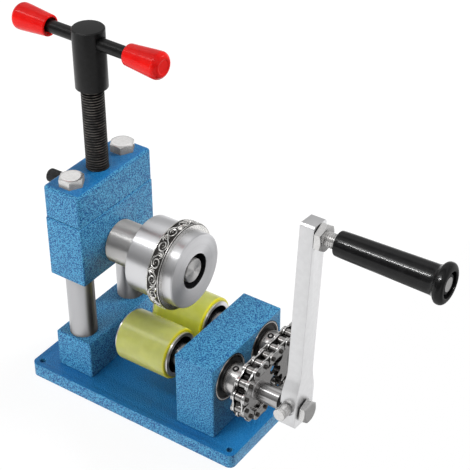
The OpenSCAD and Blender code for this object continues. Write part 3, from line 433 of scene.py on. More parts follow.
low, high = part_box("lock_screw")
lock_foot = Vector((low.x, (low.y + high.y) / 2, (low.z + high.z) / 2))
lock_length = (high.x - low.x) / MM
head_length, head_radius, shank_radius, ridges, valley = 10, 5, 3, 30, 0.93
rim = head_radius - 0.1
mesh = bmesh.new()
lathe(mesh, [(0, 0.4), (2.2, 0.4, 0.3), (2.4, 0, 0.2), (rim - 0.5, 0, 0.3), (rim, 0.7),
             (rim, head_length - 0.7), (rim - 0.5, head_length, 0.3), (shank_radius - 0.4, head_length)],
      lock_foot, X, 2 * ridges)
# The knurl: every second edge of the head is drawn in.
for vertex in mesh.verts:
    arm = vertex.co - lock_foot
    if Vector((0, arm.y, arm.z)).length > (rim - 0.1) * MM:
        k = round(math.atan2(arm.z, arm.y) / math.pi * ridges)
        scale = 1 if k % 2 else valley
        vertex.co.y, vertex.co.z = lock_foot.y + arm.y * scale, lock_foot.z + arm.z * scale
root = shank_radius - 0.45
lathe(mesh, [(root + 0.1, head_length - 0.1), (root + 0.1, lock_length, 0.4), (0, lock_length)],
      lock_foot, X, 40)
helix(mesh, lock_foot, X, lock_length - head_length, shank_radius, root, 1.0, head_length)
make("lock_screw", mesh, [black_oxide], "lock")

# Roll bearings and screw seat in the head.
# The roll shaft turns in two thin ball bearings in the head. The pressing screw bears on
# a hard button, and a split keeper over its collar lifts the head when it is backed off.

# Polished bearing steel mirrors the room almost sharply, under a thin haze of grease.
bearing_steel, tree, shader = new_finish("polished_bearing_steel", "#D8D8DA", Metallic=1.0, Roughness=0.1)
place = add(tree, "TexCoord")
haze = add(tree, "TexNoise", Vector=(place, "Object"), Scale=1 / (4 * MM), Detail=3.0)
sheen = add(tree, "MapRange", Value=(haze, "Fac"), To_Min=0.06, To_Max=0.16)
wire(tree, shader, Roughness=(sheen, 0))
for node in ["head_bearing_outers", "head_bearing_balls", "head_bearing_inners", "thrust_button"]:
    dress(node, bearing_steel)
for node in ["keeper_halves", "keeper_screws"]:
    dress(node, black_oxide)

# Pressing screw and hub.
# A rolled screw, 16 mm across with a 2 mm pitch, blackened and satin from handling.
# A plain hub is screwed on its top end.

# Blackened steel that hands have rubbed: deep black with a satin sheen, and a fine unevenness.
satin_black = mottled("satin_black_steel", "#101011", ("#070707", "#121213"), 3, 6.0, (0.35, 0.75),
                      (0.28, 0.4), (0.1, 0.05), 0.65, Metallic=0.0, Roughness=0.34, Specular_IOR_Level=0.25)
# The crests of the thread are a paler brown-grey metal, and show as thin lines.
pale_crest = mottled("pale_thread_crest", "#6B655F", ("#2E2B29", "#6B6660"), 4, 3.0, (0.35, 0.65),
                       Metallic=0.6, Roughness=0.35)


def from_axis(face, foot, axis=X):
    """How far the middle of a face lies from an axis through a foot point, in mm."""
    arm = face.center - foot
    return (arm - axis * arm.dot(axis)).length / MM


screw_radius, screw_pitch, thread_depth = 8, 2, 1.0
collar_radius, neck_radius, collar_height, thread_foot = 7, 4.5, 4.9, 10.2
low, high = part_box("press_screw")
screw_foot = Vector((post_x, 0, low.z))
screw_length = (high.z - low.z) / MM
core = screw_radius - thread_depth
under = core + 0.05
mesh = bmesh.new()
lathe(mesh, [(0, 0), (collar_radius, 0, 0.4), (collar_radius, collar_height, 0.4),
             (neck_radius, collar_height), (neck_radius, thread_foot), (under, thread_foot),
             (under, screw_length), (0, screw_length)], screw_foot, Z, 64)
helix(mesh, screw_foot, Z, screw_length - thread_foot, screw_radius, core, screw_pitch, thread_foot, 56)
screw = make("press_screw", mesh, [satin_black, pale_crest], "screw")
refinish(screw, lambda face: from_axis(face, screw_foot, Z) > screw_radius - 0.1)
softened("screw_hub", 0.6, satin_black, "screw")

# Tommy bar and grips.
# A blackened steel bar slides through the hub. Each end wears a grip moulded in glossy
# red vinyl, a taper that widens to a round end, with the bar sunk in its mouth.
bar_radius = 4.5
low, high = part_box("tommy_bar")
bar_turn = math.radians(-2.6)
bar_way = Vector((math.cos(bar_turn), math.sin(bar_turn), 0))
bar_centre = (low + high) / 2
bar_half = ((high.x - low.x) / 2 / MM - bar_radius * abs(bar_way.y)) / bar_way.x
mesh = bmesh.new()
lathe(mesh, [(0, -bar_half), (bar_radius, -bar_half, 0.6), (bar_radius, bar_half, 0.6), (0, bar_half)],
      bar_centre, bar_way, 64)
make("tommy_bar", mesh, [satin_black], "bar")

# Moulded vinyl is one deep glossy red, whose skin ripples a little where it shrank.
red_vinyl = mottled("red_vinyl", "#E01812", ("#DA0C0A", "#E4150F"), 8, 1.0, relief=(0.06, 0.2),
                    Metallic=0.0, Roughness=0.18, IOR=1.5, Specular_IOR_Level=0.22)

grip_reach, grip_length, mouth_radius, mouth_depth = 62.9, 29, 5.8, 3
inner_radius, outer_radius, dish_radius, dish_depth = 7.5, 9.49, 5, 0.3
mesh = bmesh.new()
for way in (-1, 1):
    lathe(mesh, [(bar_radius + 0.05, mouth_depth), (mouth_radius, mouth_depth, 0.3), (mouth_radius, 0, 0.5),
                 (inner_radius, 0, 1.2), (inner_radius + 0.5, 6, 2), (outer_radius, grip_length - 6, 5),
                 (outer_radius, grip_length - 2.6, 1.5), (outer_radius - 2.4, grip_length, 2.2),
                 (dish_radius, grip_length, 0.5), (dish_radius - 0.4, grip_length - dish_depth, 0.3),
                 (0, grip_length - dish_depth)],
          bar_centre + bar_way * way * (grip_reach - grip_length) * MM, bar_way * way, 72)
make("bar_grips", mesh, [red_vinyl], "bar")

# Roll shaft.
# One steel bar, turned to the bearing seats behind, a thick polished neck in front of
# the head, and a spigot that carries the top roll. Spring rings hold it at both ends.
low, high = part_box("roll_shaft")
roll_axis = Vector((low.x, 0, (low.z + high.z) / 2))
roll_centre = (0, 0, roll_axis.z)
# Finely turned and polished: the barrel's gleam is a soft band, the neck's a wider and softer one.
roll_steel = turned_steel("polished_roll_steel", "#E0E0E2", 0.36, roll_centre, (1, 0, 0), 0.5)
neck_steel = turned_steel("polished_neck_steel", "#F0EFEE", 0.5, roll_centre, (1, 0, 0), 0.4, 1.0)
seat_radius, groove_radius, neck, spigot = 7.48, 6.6, 16, 8.8
tail, head_depth, neck_end, front_groove = 2.3, 34.7, 61.4, 92.6
groove_width, groove_depth = 1.3, 0.9
shaft_end = (high.x - low.x) / MM
mesh = bmesh.new()
lathe(mesh, [(0, 0), (seat_radius, 0, 0.6), (seat_radius, tail), (groove_radius, tail),
             (groove_radius, tail + groove_width), (seat_radius, tail + groove_width),
             (seat_radius, head_depth), (neck, head_depth, 0.5), (neck, neck_end), (spigot, neck_end),
             (spigot, front_groove), (spigot - groove_depth, front_groove),
             (spigot - groove_depth, front_groove + groove_width), (spigot, front_groove + groove_width),
             (spigot, shaft_end, 0.5), (0, shaft_end)], roll_axis, X)
make("roll_shaft", mesh, [neck_steel], "roll")
dress("roll_clips", black_oxide)

# Top roll.
# A turned steel barrel with a lower seat in front for the pattern ring, a bevelled rim
# and a recess round the spigot, painted black as painted shade.
low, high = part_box("top_roll")
barrel, seat, spigot_bore, recess = 28, 27.3, 8.82, 13
roll_length, seat_start, recess_floor = 39.2, 20.9, 31.2
roll_foot = Vector((low.x, 0, roll_axis.z))
# The tool left fine rings on the end face, so its gleam fans out from the middle.
face_steel = turned_steel("turned_roll_face_steel", "#DADADC", 0.5, roll_centre, (1, 0, 0), 0.6)
mesh = bmesh.new()
lathe(mesh, [(spigot_bore, 0), (barrel - 0.4, 0, 0.2), (barrel, 0.4, 0.2), (barrel, seat_start, 0.2),
             (seat, seat_start), (seat, roll_length - 1.3, 0.15), (seat - 0.25, roll_length - 1.1),
             (seat - 0.25, roll_length - 0.9), (seat, roll_length - 0.7), (seat - 0.6, roll_length, 0.15),
             (recess, roll_length, 0.4), (recess, recess_floor), (spigot_bore, recess_floor)],
      roll_foot, X, 128, hollow=True)
roll = make("top_roll", mesh, [roll_steel, face_steel, black_oxide], "roll")


def in_recess(face):
    """Whether a face lies on the wall or the floor of the roll's recess."""
    depth, radius = (face.center.x - roll_foot.x) / MM, from_axis(face, roll_foot)
    wall = radius < recess + 0.01 and abs(face.normal.x) < 0.9
    floor = radius < recess and depth < roll_length - 2
    return depth > recess_floor - 1 and (wall or floor)


refinish(roll, lambda face: face.center.x - roll_foot.x > (roll_length - 0.6) * MM)
# The wall and floor of the recess are painted black: painted shade inside the recess.
refinish(roll, in_recess, 2)

# Pattern ring.
# A steel ring slipped on the seat, held by its fit. Its ground is etched and darkened, and
# a running scroll with a leaf in each turn, of our own drawing, stands up polished.
ring_radius, ring_width, ring_bore, ground_depth = 32.0, 10.3, 27.32, 0.75
band_start, band_end = 0.95, 8.95
low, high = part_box("pattern_ring")
ring_foot = Vector((low.x, 0, roll_axis.z))
# The etched ground is rough and dark, and the crests of the scroll are rubbed bright.
scroll_ground = mottled("etched_dark_steel", "#2A2825", ("#161515", "#3A3835"), 0.6, 3.0, relief=(0.4, 0.1),
                        Metallic=0.7, Roughness=0.5)
scroll_crest = mottled("polished_scroll_steel", "#DEDDDB", ("#BDBBB7", "#E8E7E5"), 1.2, 3.0, (0.3, 0.65),
                       Metallic=1.0, Roughness=0.22)

ground, lip = ring_radius - ground_depth, ring_radius - 0.35
mesh = bmesh.new()
lathe(mesh, [(ring_bore, 0), (lip, 0, 0.3), (lip, band_start - 0.2, 0.3), (ground, band_start),
             (ground, band_end), (lip, band_end + 0.2, 0.3), (lip, ring_width - 0.7, 0.3),
             (ring_radius - 1, ring_width, 0.3), (ring_bore, ring_width)], ring_foot, X, 192, hollow=True)
rim_faces = len(mesh.faces)
band_middle = (band_start + band_end) / 2


def on_ring(around, across, lift):
    """A point on the ring: mm round its ground, mm from its middle, mm above its ground."""
    angle = around / ground
    radius = ground + lift
    return ring_foot + Vector((band_middle + across, radius * math.cos(angle), radius * math.sin(angle))) * MM


def raised_line(mesh, path, widths):
    """A raised line on the ring's ground: a ridge with a rounded top along a path."""
    ridge = ((-1, -0.1), (-0.75, 0.4), (0, 0.72), (0.75, 0.4), (1, -0.1))
    rows = []
    for i, (around, across) in enumerate(path):
        a, b = path[max(i - 1, 0)], path[min(i + 1, len(path) - 1)]
        way = Vector((b[0] - a[0], b[1] - a[1])).normalized() * widths[i]
        rows.append([mesh.verts.new(on_ring(around - way.y * s, across + way.x * s, lift))
                     for s, lift in ridge])
    skin(mesh, rows, closed=False)


scrolls, stem_steps, curl_steps, leaf_steps = 16, 8, 29, 6
curl, curl_in, curl_stretch = 2.9 * math.pi, 0.62, 1.25
repeat = 2 * math.pi * ground / scrolls
band = (band_end - band_start) / 2
for n in range(scrolls):
    flip = 1 if n % 2 else -1
    middle = (n + 0.5) * repeat
    # The stem swings over from the last scroll and winds in to a full curl.
    path = []
    for k in range(stem_steps + 1):
        t = k / stem_steps
        path.append((middle - repeat * (1.05 - 0.55 * t), -flip * (band - 0.7) * math.cos(math.pi * t * 0.5)))
    for k in range(1, curl_steps + 1):
        t = k / curl_steps
        angle = math.pi + t * curl
        radius = (band - 0.2) * (1 - curl_in * t)
        path.append((middle + radius * math.cos(angle) * curl_stretch, -flip * radius * math.sin(angle)))
    widths = [min(0.42 + 0.03 * k, 0.62, 0.4 + 0.04 * (len(path) - k)) for k in range(len(path))]
    raised_line(mesh, path, widths)
    # A bud fills the middle of the curl, and a leaf of four lobes the corner that it leaves.
    raised_line(mesh, [(middle - 0.5, 0), (middle, 0), (middle + 0.5, 0)], [0.25, 0.5, 0.25])
    for lean, reach in ((-1, 3.0), (-0.3, 5.4), (0.4, 4.4), (1, 3.0)):
        leaf, widths = [], []
        for t in [k / leaf_steps for k in range(leaf_steps + 1)]:
            up = band - 0.1 - reach * t + 0.9 * abs(lean) * t * t
            leaf.append((middle + repeat * 0.5 + lean * (0.6 + 2.4 * t), flip * up))
            widths.append(0.25 + 0.4 * math.sin(math.pi * t ** 0.8))
        raised_line(mesh, leaf, widths)
scroll_ring = make("pattern_ring", mesh, [scroll_ground, scroll_crest], "roll")
refinish(scroll_ring, lambda face: face.index >= rim_faces or abs(face.normal.x) > 0.9
         or from_axis(face, ring_foot) > ground + 0.15)

# Bearings in the block.
# Four sealed ball bearings, 15 by 35 mm, pressed into the block from both sides: bright
# steel rings with a moulded black rubber seal between them.

# Moulded rubber is matt and nearly black, with a little grey dust on it.
seal_rubber = mottled("black_seal_rubber", "#0E0E0E", ("#0A0A0A", "#1B1A19"), 1.5, 4.0, (0.35, 0.75),
                      relief=(0.2, 0.03), Metallic=0.0, Roughness=0.5)
dress("block_bearing_seals", seal_rubber)
for node in ["block_bearing_balls", "drive_bearing_inners", "idler_bearing_inners"]:
    dress(node, bearing_steel)
# The outer rings are painted dark, with one narrow bright band across their faces: painted shade for
# the recess they sit in, and a painted highlight on the band.
axle_y, axle_z = 21.43125, 52.3
ring_inner, ring_outer = 15, 18
shaded_ring_steel, tree, shader = new_finish("bearing_ring_painted_shade", "#8A8784", Metallic=1.0, Roughness=0.25)
place = add(tree, "TexCoord")
apart = add(tree, "SeparateXYZ", Vector=(place, "Object"))
beside = add(tree, "Math", {"operation": "ABSOLUTE"}, _0=(apart, "Y"))
centred = add(tree, "CombineXYZ", X=(beside, 0), Y=(apart, "Z"))
arm = add(tree, "VectorMath", {"operation": "SUBTRACT"}, _0=(centred, 0), _1=(axle_y * MM, axle_z * MM, 0))
radius = add(tree, "VectorMath", {"operation": "LENGTH"}, _0=(arm, 0))
across_ring = add(tree, "MapRange", Value=(radius, "Value"), From_Min=ring_inner * MM, From_Max=ring_outer * MM)
tones = add(tree, "ValToRGB", _0=(across_ring, 0))
tones.color_ramp.elements[0].color = linear("#2B2725")
tones.color_ramp.elements[1].color = linear("#1C1A19")
for spot, tone in ((0.32, "#3A3532"), (0.45, "#E8E6E4"), (0.62, "#E8E6E4"), (0.72, "#2A2624")):
    tones.color_ramp.elements.new(spot).color = linear(tone)
wire(tree, shader, Base_Color=(tones, "Color"))
dress("block_bearing_outers", shaded_ring_steel)

# Lower shafts.
# Two polished steel shafts run through the bearings. A collar stops each roller in front
# of the block, a spring ring holds it, and the near shaft goes on to the crank.
axles = {"drive": Vector((0, -axle_y, axle_z)) * MM, "idler": Vector((0, axle_y, axle_z)) * MM}
shaft_radius, shaft_groove, collar, crank_seat, tip = 7.48, 6.6, 9.5, 7, 6
roller_web = (-0.9, 9.1)
shaft_start, collar_end, chain_face, neck_start, crank_end = -4.6, 36.7, 91.7, 111, 127.4
clip_start, clip_end = shaft_start + 2.45, shaft_start + 3.75
for body, axle in axles.items():
    outline = [(0, shaft_start), (shaft_radius, shaft_start, 0.5), (shaft_radius, clip_start),
               (shaft_groove, clip_start), (shaft_groove, clip_end), (shaft_radius, clip_end),
               (shaft_radius, roller_web[1]), (collar, roller_web[1]), (collar, collar_end, 0.3),
               (shaft_radius, collar_end)]
    if body == "drive":
        outline += [(shaft_radius, chain_face, 0.3), (crank_seat, chain_face + 0.4),
                    (crank_seat, neck_start, 0.6), (tip, neck_start), (tip, crank_end, 0.3), (0, crank_end)]
    else:
        outline += [(shaft_radius, chain_face, 0.6), (0, chain_face)]
    mesh = bmesh.new()
    lathe(mesh, outline, axle, X, 80)
    # Ground steel: fine grooves round it, and one long clear gleam.
    shaft_steel = turned_steel(body + "_shaft_steel", "#B4B3B3", 0.2, tuple(axle), (1, 0, 0), 0.2)
    shaft = make(body + "_shaft", mesh, [shaft_steel, black_oxide], body)
    # On the drive shaft the thin end next to the arm is blackened: painted shade for the dark gap between the
    # shaft's shoulder and the arm.
    refinish(shaft, lambda face: face.center.x > (neck_start - 0.01) * MM)
    dress(body + "_roller_clip", black_oxide)

# Lower rollers.
# A steel core with an open end on each side is turned bright, and a sleeve of cast
# yellow-green urethane is bonded round it. The sleeve is 2 mm thick and lets light through.
core_outer, core_inner, core_bore = 16.5, 13.5, 7.5
core_ends = (-18.5, 26.7)
sleeve_outer, sleeve_ends = 18.8, (-16.6, 25.4)
# Cast urethane is a cloudy yellow-green under a thin gloss, and lets a little light through.
urethane, tree, shader = new_finish(
    "cast_urethane", "#C2C44E", Metallic=0.0, Roughness=0.3, IOR=1.5, Subsurface_Weight=0.6,
    Subsurface_Radius=(0.6, 0.5, 0.08), Subsurface_Scale=4 * MM, Coat_Weight=0.2, Coat_Roughness=0.15)
place = add(tree, "TexCoord")
apart = add(tree, "SeparateXYZ", Vector=(place, "Object"))
middle = (sleeve_ends[0] + sleeve_ends[1]) / 2 * MM
inward = add(tree, "Math", {"operation": "SUBTRACT"}, _0=(apart, "X"), _1=middle)
half = (sleeve_ends[1] - sleeve_ends[0]) / 2 * MM
cloud = add(tree, "TexNoise", Vector=(place, "Object"), Scale=1 / (9 * MM), Detail=2.0)
body_colour = two_tone(tree, (cloud, "Fac"), 0.3, 0.7, "#ABAE5E", "#B5B868")
# The end towards the block is seen through the whole sleeve, so it looks deeper in colour.
rim = add(tree, "MapRange", {"interpolation_type": "SMOOTHSTEP"}, Value=(inward, 0),
          From_Min=half - 1.8 * MM, From_Max=half - 0.3 * MM)
tint = add(tree, "Mix", {"data_type": "RGBA"}, _0=(rim, 0), _6=(body_colour, 2), _7=linear("#C4BC1E"))
bump = add(tree, "Bump", Strength=0.1, Distance=0.2 * MM, Height=(cloud, "Fac"))
wire(tree, shader, Base_Color=(tint, 2), Normal=(bump, "Normal"))

for body, axle in axles.items():
    mesh = bmesh.new()
    lathe(mesh, [(core_bore, roller_web[0]), (core_inner, roller_web[0], 0.6),
                 (core_inner, core_ends[0], 0.4), (core_outer, core_ends[0], 0.4),
                 (core_outer, core_ends[1], 0.4), (core_inner, core_ends[1], 0.4),
                 (core_inner, roller_web[1], 0.6), (core_bore, roller_web[1])], axle, X, hollow=True)
    # The core is turned bright, so the gleam on its ends fans out from the shaft.
    core_steel = turned_steel(body + "_core_steel", "#E2E1E3", 0.32, tuple(axle), (1, 0, 0), 0.2)
    core = make(body + "_roller_core", mesh, [core_steel, black_oxide], body)
    # The inside of the core's open ends is painted black: painted shade in the hollows.
    refinish(core, lambda face: from_axis(face, axle) < core_inner + 0.1)
    mesh = bmesh.new()
    lathe(mesh, [(core_outer + 0.02, sleeve_ends[0]), (sleeve_outer, sleeve_ends[0], 1.8),
                 (sleeve_outer, sleeve_ends[1], 1.8), (core_outer + 0.02, sleeve_ends[1])],
          axle, X, hollow=True)
    # The idler's sleeve, made last, is the far one.
    far_sleeve = make(body + "_roller_sleeve", mesh, [urethane], body)

# Sprockets.
# Two machined sprockets of 12 teeth, each with a polished hub towards the block. A
# blackened headless screw in the hub clamps it to its shaft.
teeth, pitch, roller = 12, 9.525, 6.35
pitch_radius = pitch / 2 / math.sin(math.pi / teeth)
tooth_step = 2 * math.pi / teeth
hub_radius, hub_start, tooth_width = 12, 69.4, 5.2
chain_x = 89.1
tip_radius, shoulder_radius, tooth_seat, tooth_bevel, bevel_from = 20.2, 19.3, roller / 2 + 0.12, 0.9, 18.5
sprocket_bore = shaft_radius + 0.03
tooth_start, tooth_end = chain_x - tooth_width / 2, chain_x + tooth_width / 2
screw_x, screw_lean = 75, math.radians(11)
set_foot, set_top, set_radius, socket_radius, socket_depth = 7.6, 12.15, 2.45, 1, 0.12
screw_way = Vector((0, -math.sin(screw_lean), math.cos(screw_lean)))
# The teeth are painted nearly black, with soft brown-grey patches: painted shade where they sit among
# the chain's rollers.
tooth_shade_steel = mottled("sprocket_teeth_painted_shade", "#3A3A3A", ("#252424", "#474645"), 3, 4.0,
                         sheen=(0.14, 0.34), Metallic=1.0, Roughness=0.3)


def tooth_outline(first_gap):
    """The outline of the toothed disc in mm: a round seat for each chain roller, then a tooth tip."""
    seat_steps, seat_turn = 4, math.radians(19)
    points = []
    for gap in range(teeth):
        at = first_gap + gap * tooth_step
        seat = Vector((math.cos(at), math.sin(at))) * pitch_radius
        for k in range(-seat_steps, seat_steps + 1):
            angle = at + math.pi - k * seat_turn
            points.append(seat + Vector((math.cos(angle), math.sin(angle))) * tooth_seat)
        for turn, radius in ((0.355, shoulder_radius), (0.45, tip_radius), (0.55, tip_radius),
                             (0.645, shoulder_radius)):
            angle = at + turn * tooth_step
            points.append(Vector((math.cos(angle), math.sin(angle))) * radius)
    return points


for body, first_gap in (("drive", math.pi / 2 + math.pi / teeth), ("idler", math.pi / 2)):
    axle = axles[body]
    mesh = bmesh.new()
    lathe(mesh, [(sprocket_bore, hub_start), (hub_radius, hub_start, 1.2), (hub_radius, tooth_start),
                 (sprocket_bore, tooth_start)], axle, X, hollow=True)
    outline = tooth_outline(first_gap)
    bore = [point.normalized() * sprocket_bore for point in outline]
    bevelled = [p * (1 - tooth_bevel / p.length) if p.length > bevel_from else p for p in outline]
    rings = []
    for x, points in ((tooth_start, bore), (tooth_start, bevelled), (tooth_start + tooth_bevel, outline),
                      (tooth_end - tooth_bevel, outline), (tooth_end, bevelled), (tooth_end, bore)):
        rings.append([mesh.verts.new(axle + Vector((x, point.x, point.y)) * MM) for point in points])
    skin(mesh, rings + rings[:1])
    # The hubs are turned and polished, so they mirror the room in narrow bands.
    hub_chrome = turned_steel(body + "_hub_chrome", "#C9C7C6", 0.22, tuple(axle), (1, 0, 0), 0.1, 0.3)
    disc = make(body + "_sprocket", mesh, [tooth_shade_steel, hub_chrome], body)
    refinish(disc, lambda face: face.center.x < (tooth_start - 0.01) * MM or face.normal.x > 0.9)
    # The set screw lies flush with the hub. Its socket is given the bright hub finish: a painted highlight
    # for the lit flank inside it, in the black.
    mesh = bmesh.new()
    screw_seat = axle + X * screw_x * MM
    lathe(mesh, [(0, set_foot), (set_radius, set_foot), (set_radius, set_top - 0.15),
                 (set_radius - 0.15, set_top), (socket_radius + 0.2, set_top),
                 (socket_radius, set_top - socket_depth), (0, set_top - socket_depth)],
          screw_seat, screw_way, 32)
    socket = make(body + "_set_screw", mesh, [satin_black, hub_chrome], body)
    refinish(socket, lambda face: from_axis(face, screw_seat, screw_way) < socket_radius - 0.1)

# Roller chain.
# A closed loop of 21 pitches of nickel plated roller chain, 9.525 mm pitch. One cranked
# link makes the odd number. The links are drawn where they lie at rest.
straight = 4
span = 2 * axle_y
# Nickel plate under a film of oil is bright, with small soft changes in its gleam.
chain_steel = mottled("oiled_chain_steel", "#A09F9F", ("#C4C3C2", "#E2E1E0"), 2, 4.0, sheen=(0.14, 0.22),
                      Metallic=1.0, Roughness=0.24)
# The sides of the inner plates are painted a dull brown-grey: painted shade where they lie between the
# outer plates.
shaded_plate_side = mottled("inner_plate_side_painted_shade", "#5C5A59", ("#403E3D", "#73716F"), 2, 3.0,
                     Metallic=1.0, Roughness=0.35)
# The teeth keep the rollers polished, so they mirror the room in sharp lines.
roller_steel = mottled("polished_roller_steel", "#9C9A99", ("#878583", "#B1AFAE"), 2, 3.0,
                       Metallic=1.0, Roughness=0.16)
# The pins and bushes are a dark brown-grey, against which the plates look bright.
dark_pin = mottled("hardened_pin_steel", "#6A6969", ("#2E2C2B", "#5A5755"), 1.5, 3.0,
                   Metallic=1.0, Roughness=0.3)

near = [math.pi / 2 - tooth_step / 2 + k * tooth_step for k in range(teeth // 2 + 2)]
far = [-math.pi / 2 + k * tooth_step for k in range(teeth // 2 + 1)]
pins = [Vector((-span / 2 + pitch_radius * math.cos(a), axle_z + pitch_radius * math.sin(a))) for a in near]
far_pins = [Vector((span / 2 + pitch_radius * math.cos(a), axle_z + pitch_radius * math.sin(a))) for a in far]
pins += [pins[-1].lerp(far_pins[0], k / straight) for k in range(1, straight)] + far_pins
pins += [far_pins[-1].lerp(pins[0], k / straight) for k in range(1, straight)]
offset_link = len(near) + len(near) % 2
plate_radius, waist = 4.1, 3.3
inner_gap, inner_plate, outer_plate, plate_gap = 2.86, 1.3, 1.04, 0.14
outer_start = inner_gap + inner_plate + plate_gap


def plate(mesh, index, x0, thickness, rise=0.0):
    """One link plate from a pin to the next, standing off the chain's middle; rise cranks it outwards."""
    a, b = pins[index], pins[(index + 1) % len(pins)]
    way = (b - a).normalized()
    side = Vector((-way.y, way.x))
    arc, arc_steps, waist_half, waist_fall, bevel = 240, 14, 0.15, 0.25, 0.15
    outline = []
    for end, first, edge in ((0, 60, -1), (pitch, 240, 1)):
        for k in range(arc_steps + 1):
            angle = math.radians(first + k * arc / arc_steps)
            outline.append((end + plate_radius * math.cos(angle), plate_radius * math.sin(angle)))
        for s in (-1, 0, 1):
            outline.append((pitch * (0.5 - edge * s * waist_half), edge * (waist + waist_fall * abs(s))))
    out = 1 if x0 > 0 else -1
    rings = []
    for depth, shrink in ((0, bevel), (bevel, 0), (thickness - bevel, 0), (thickness, bevel)):
        ring = []
        for u, v in outline:
            centre = 0 if u < pitch * 0.3 else pitch if u > pitch * 0.7 else u
            reach = Vector((u - centre, v))
            reach *= 1 - shrink / max(reach.length, 1)
            share = min(max((1 - u / pitch - 0.25) / 0.5, 0), 1)
            x = x0 + out * (depth + rise * share * share * (3 - 2 * share))
            at = a + way * (centre + reach.x) + side * reach.y
            ring.append(mesh.verts.new(Vector((chain_x + x, at.x, at.y)) * MM))
        rings.append(ring)
    skin(mesh, rings)
    for ring in (rings[0], rings[-1]):
        half = len(ring) // 2
        for k in range(half - 1):
            mesh.faces.new([ring[k], ring[k + 1], ring[-k - 2], ring[-k - 1]])


for kind, start, thickness in (("inner", inner_gap, inner_plate), ("outer", outer_start, outer_plate)):
    mesh = bmesh.new()
    for index in range(len(pins)):
        is_outer = index % 2 == (0 if index < offset_link else 1)
        if index != offset_link and is_outer == (kind == "outer"):
            plate(mesh, index, start, thickness)
            plate(mesh, index, -start, thickness)
    side_finish = chain_steel if kind == "outer" else shaded_plate_side
    plates = make(f"chain_{kind}_plates", mesh, [chain_steel, side_finish], "frame")
    refinish(plates, lambda face: abs(face.normal.x) > 0.9)
mesh = bmesh.new()
for way in (1, -1):
    plate(mesh, offset_link, way * inner_gap, inner_plate, outer_start - inner_gap)
make("chain_offset_plates", mesh, [chain_steel], "frame")

pin_radius, pin_half, bush_radius, bush_half, roller_half, play = 1.64, 6.45, 2.4, 4.16, 2.76, 0.02
pin_outline = [(0, -pin_half), (pin_radius, -pin_half, 0.35), (pin_radius, pin_half, 0.35), (0, pin_half)]
bush_outline = [(pin_radius + play, -bush_half), (bush_radius, -bush_half), (bush_radius, bush_half),
                (pin_radius + play, bush_half)]
roller_outline = [(bush_radius + play, -roller_half), (roller / 2, -roller_half, 0.3),
                  (roller / 2, roller_half, 0.3), (bush_radius + play, roller_half)]
for node, finish, outline in (("chain_pins", dark_pin, pin_outline), ("chain_bushes", dark_pin, bush_outline),
                              ("chain_rollers", roller_steel, roller_outline)):
    mesh = bmesh.new()
    for pin in pins:
        lathe(mesh, outline, Vector((chain_x, pin.x, pin.y)) * MM, X, 32, hollow=node != "chain_pins")
    make(node, mesh, [finish], "frame")

# Crank arm.
# A forged and plated steel arm, 12 mm thick, with a wider foot. The foot is bored for the
# shaft, and its edges were tumbled round before the satin grey plating.

# Satin plate is pale and soft: it spreads every light in the room over the whole arm.
satin_plate = mottled("satin_nickel_plate", "#E6E6E7", ("#DCDCDD", "#E1E1E2"), 4, 2.0, sheen=(0.36, 0.39),
                      relief=(0.008, 0.05), Metallic=1.0, Roughness=0.42)
arm_piece = softened("crank_arm", 1.4, satin_plate, "drive")

# Crank bolts.
# A hexagon bolt in the end of the shaft keeps the arm on, and a round clamping bolt with a
# ring groove in its face holds the foot tight on the shaft. Both are zinc plated.
lean = math.radians(5)
arm_up = Vector((0, math.sin(lean), math.cos(lean)))
arm_side = Vector((0, -math.cos(lean), math.sin(lean)))
foot_axis = axles["drive"]
low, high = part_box("crank_end_bolt")
end_flats, end_head, end_radius, end_shank, end_step, step_height = 15, 5.3, 4, 18, 6.4, 0.9
end_seat = Vector((high.x - end_head * MM, foot_axis.y, foot_axis.z))
mesh = bmesh.new()
hexagon(mesh, end_flats, end_head - step_height, end_seat + X * step_height * MM, X, math.radians(18))
hexagon_faces = len(mesh.faces)
lathe(mesh, [(0, -end_shank), (end_radius, -end_shank, 0.5), (end_radius, 0), (end_step, 0),
             (end_step, step_height), (0, step_height)], end_seat, X, 48)
end_bolt = make("crank_end_bolt", mesh, [zinc_plate, black_oxide], "drive")
# The step under the head is blackened: painted shade for the dark gap between the head and the arm.
refinish(end_bolt, lambda face: face.index >= hexagon_faces)

clamp_x = 121.04 * MM
clamp_start, clamp_end, clamp_radius, clamp_rise, clamp_groove = 6.02, 20.52, 4.4, 4.6, 0.4
clamp_foot = Vector((clamp_x, foot_axis.y, foot_axis.z)) + (arm_side * clamp_start + arm_up * clamp_rise) * MM
clamp_length = clamp_end - clamp_start
mesh = bmesh.new()
lathe(mesh, [(0, 0), (clamp_radius, 0), (clamp_radius, clamp_length - 2.6),
             (clamp_radius - clamp_groove, clamp_length - 2.4),
             (clamp_radius - clamp_groove, clamp_length - 2), (clamp_radius, clamp_length - 1.8),
             (clamp_radius, clamp_length, 0.6), (0, clamp_length)], clamp_foot, arm_side, 64)
make("crank_set_bolt", mesh, [zinc_plate], "drive")

# Handle spindle and nut.
# A long zinc plated bolt goes through the grip into the top of the arm, where a nut locks
# it. Its thread shows between the nut and the grip, and its head lies in the grip's end.
low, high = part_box("handle_nut")
handle_y, handle_z = (low.y + high.y) / 2, (low.z + high.z) / 2
nut_flats, nut_height, nut_bore, nut_step = 17, 6, 10.04, 7.6
nut_foot = Vector((low.x, handle_y, handle_z))
mesh = bmesh.new()
hexagon(mesh, nut_flats, nut_height - step_height, nut_foot + X * step_height * MM, X, math.radians(25),
        bore=nut_bore)
hexagon_faces = len(mesh.faces)
lathe(mesh, [(nut_bore / 2, 0), (nut_step, 0), (nut_step, step_height), (nut_bore / 2, step_height)],
      nut_foot, X, 64, hollow=True)
nut = make("handle_nut", mesh, [zinc_plate, black_oxide], "drive")
# The step under the nut is blackened: painted shade for the dark gap between the nut and the arm.
refinish(nut, lambda face: face.index >= hexagon_faces)

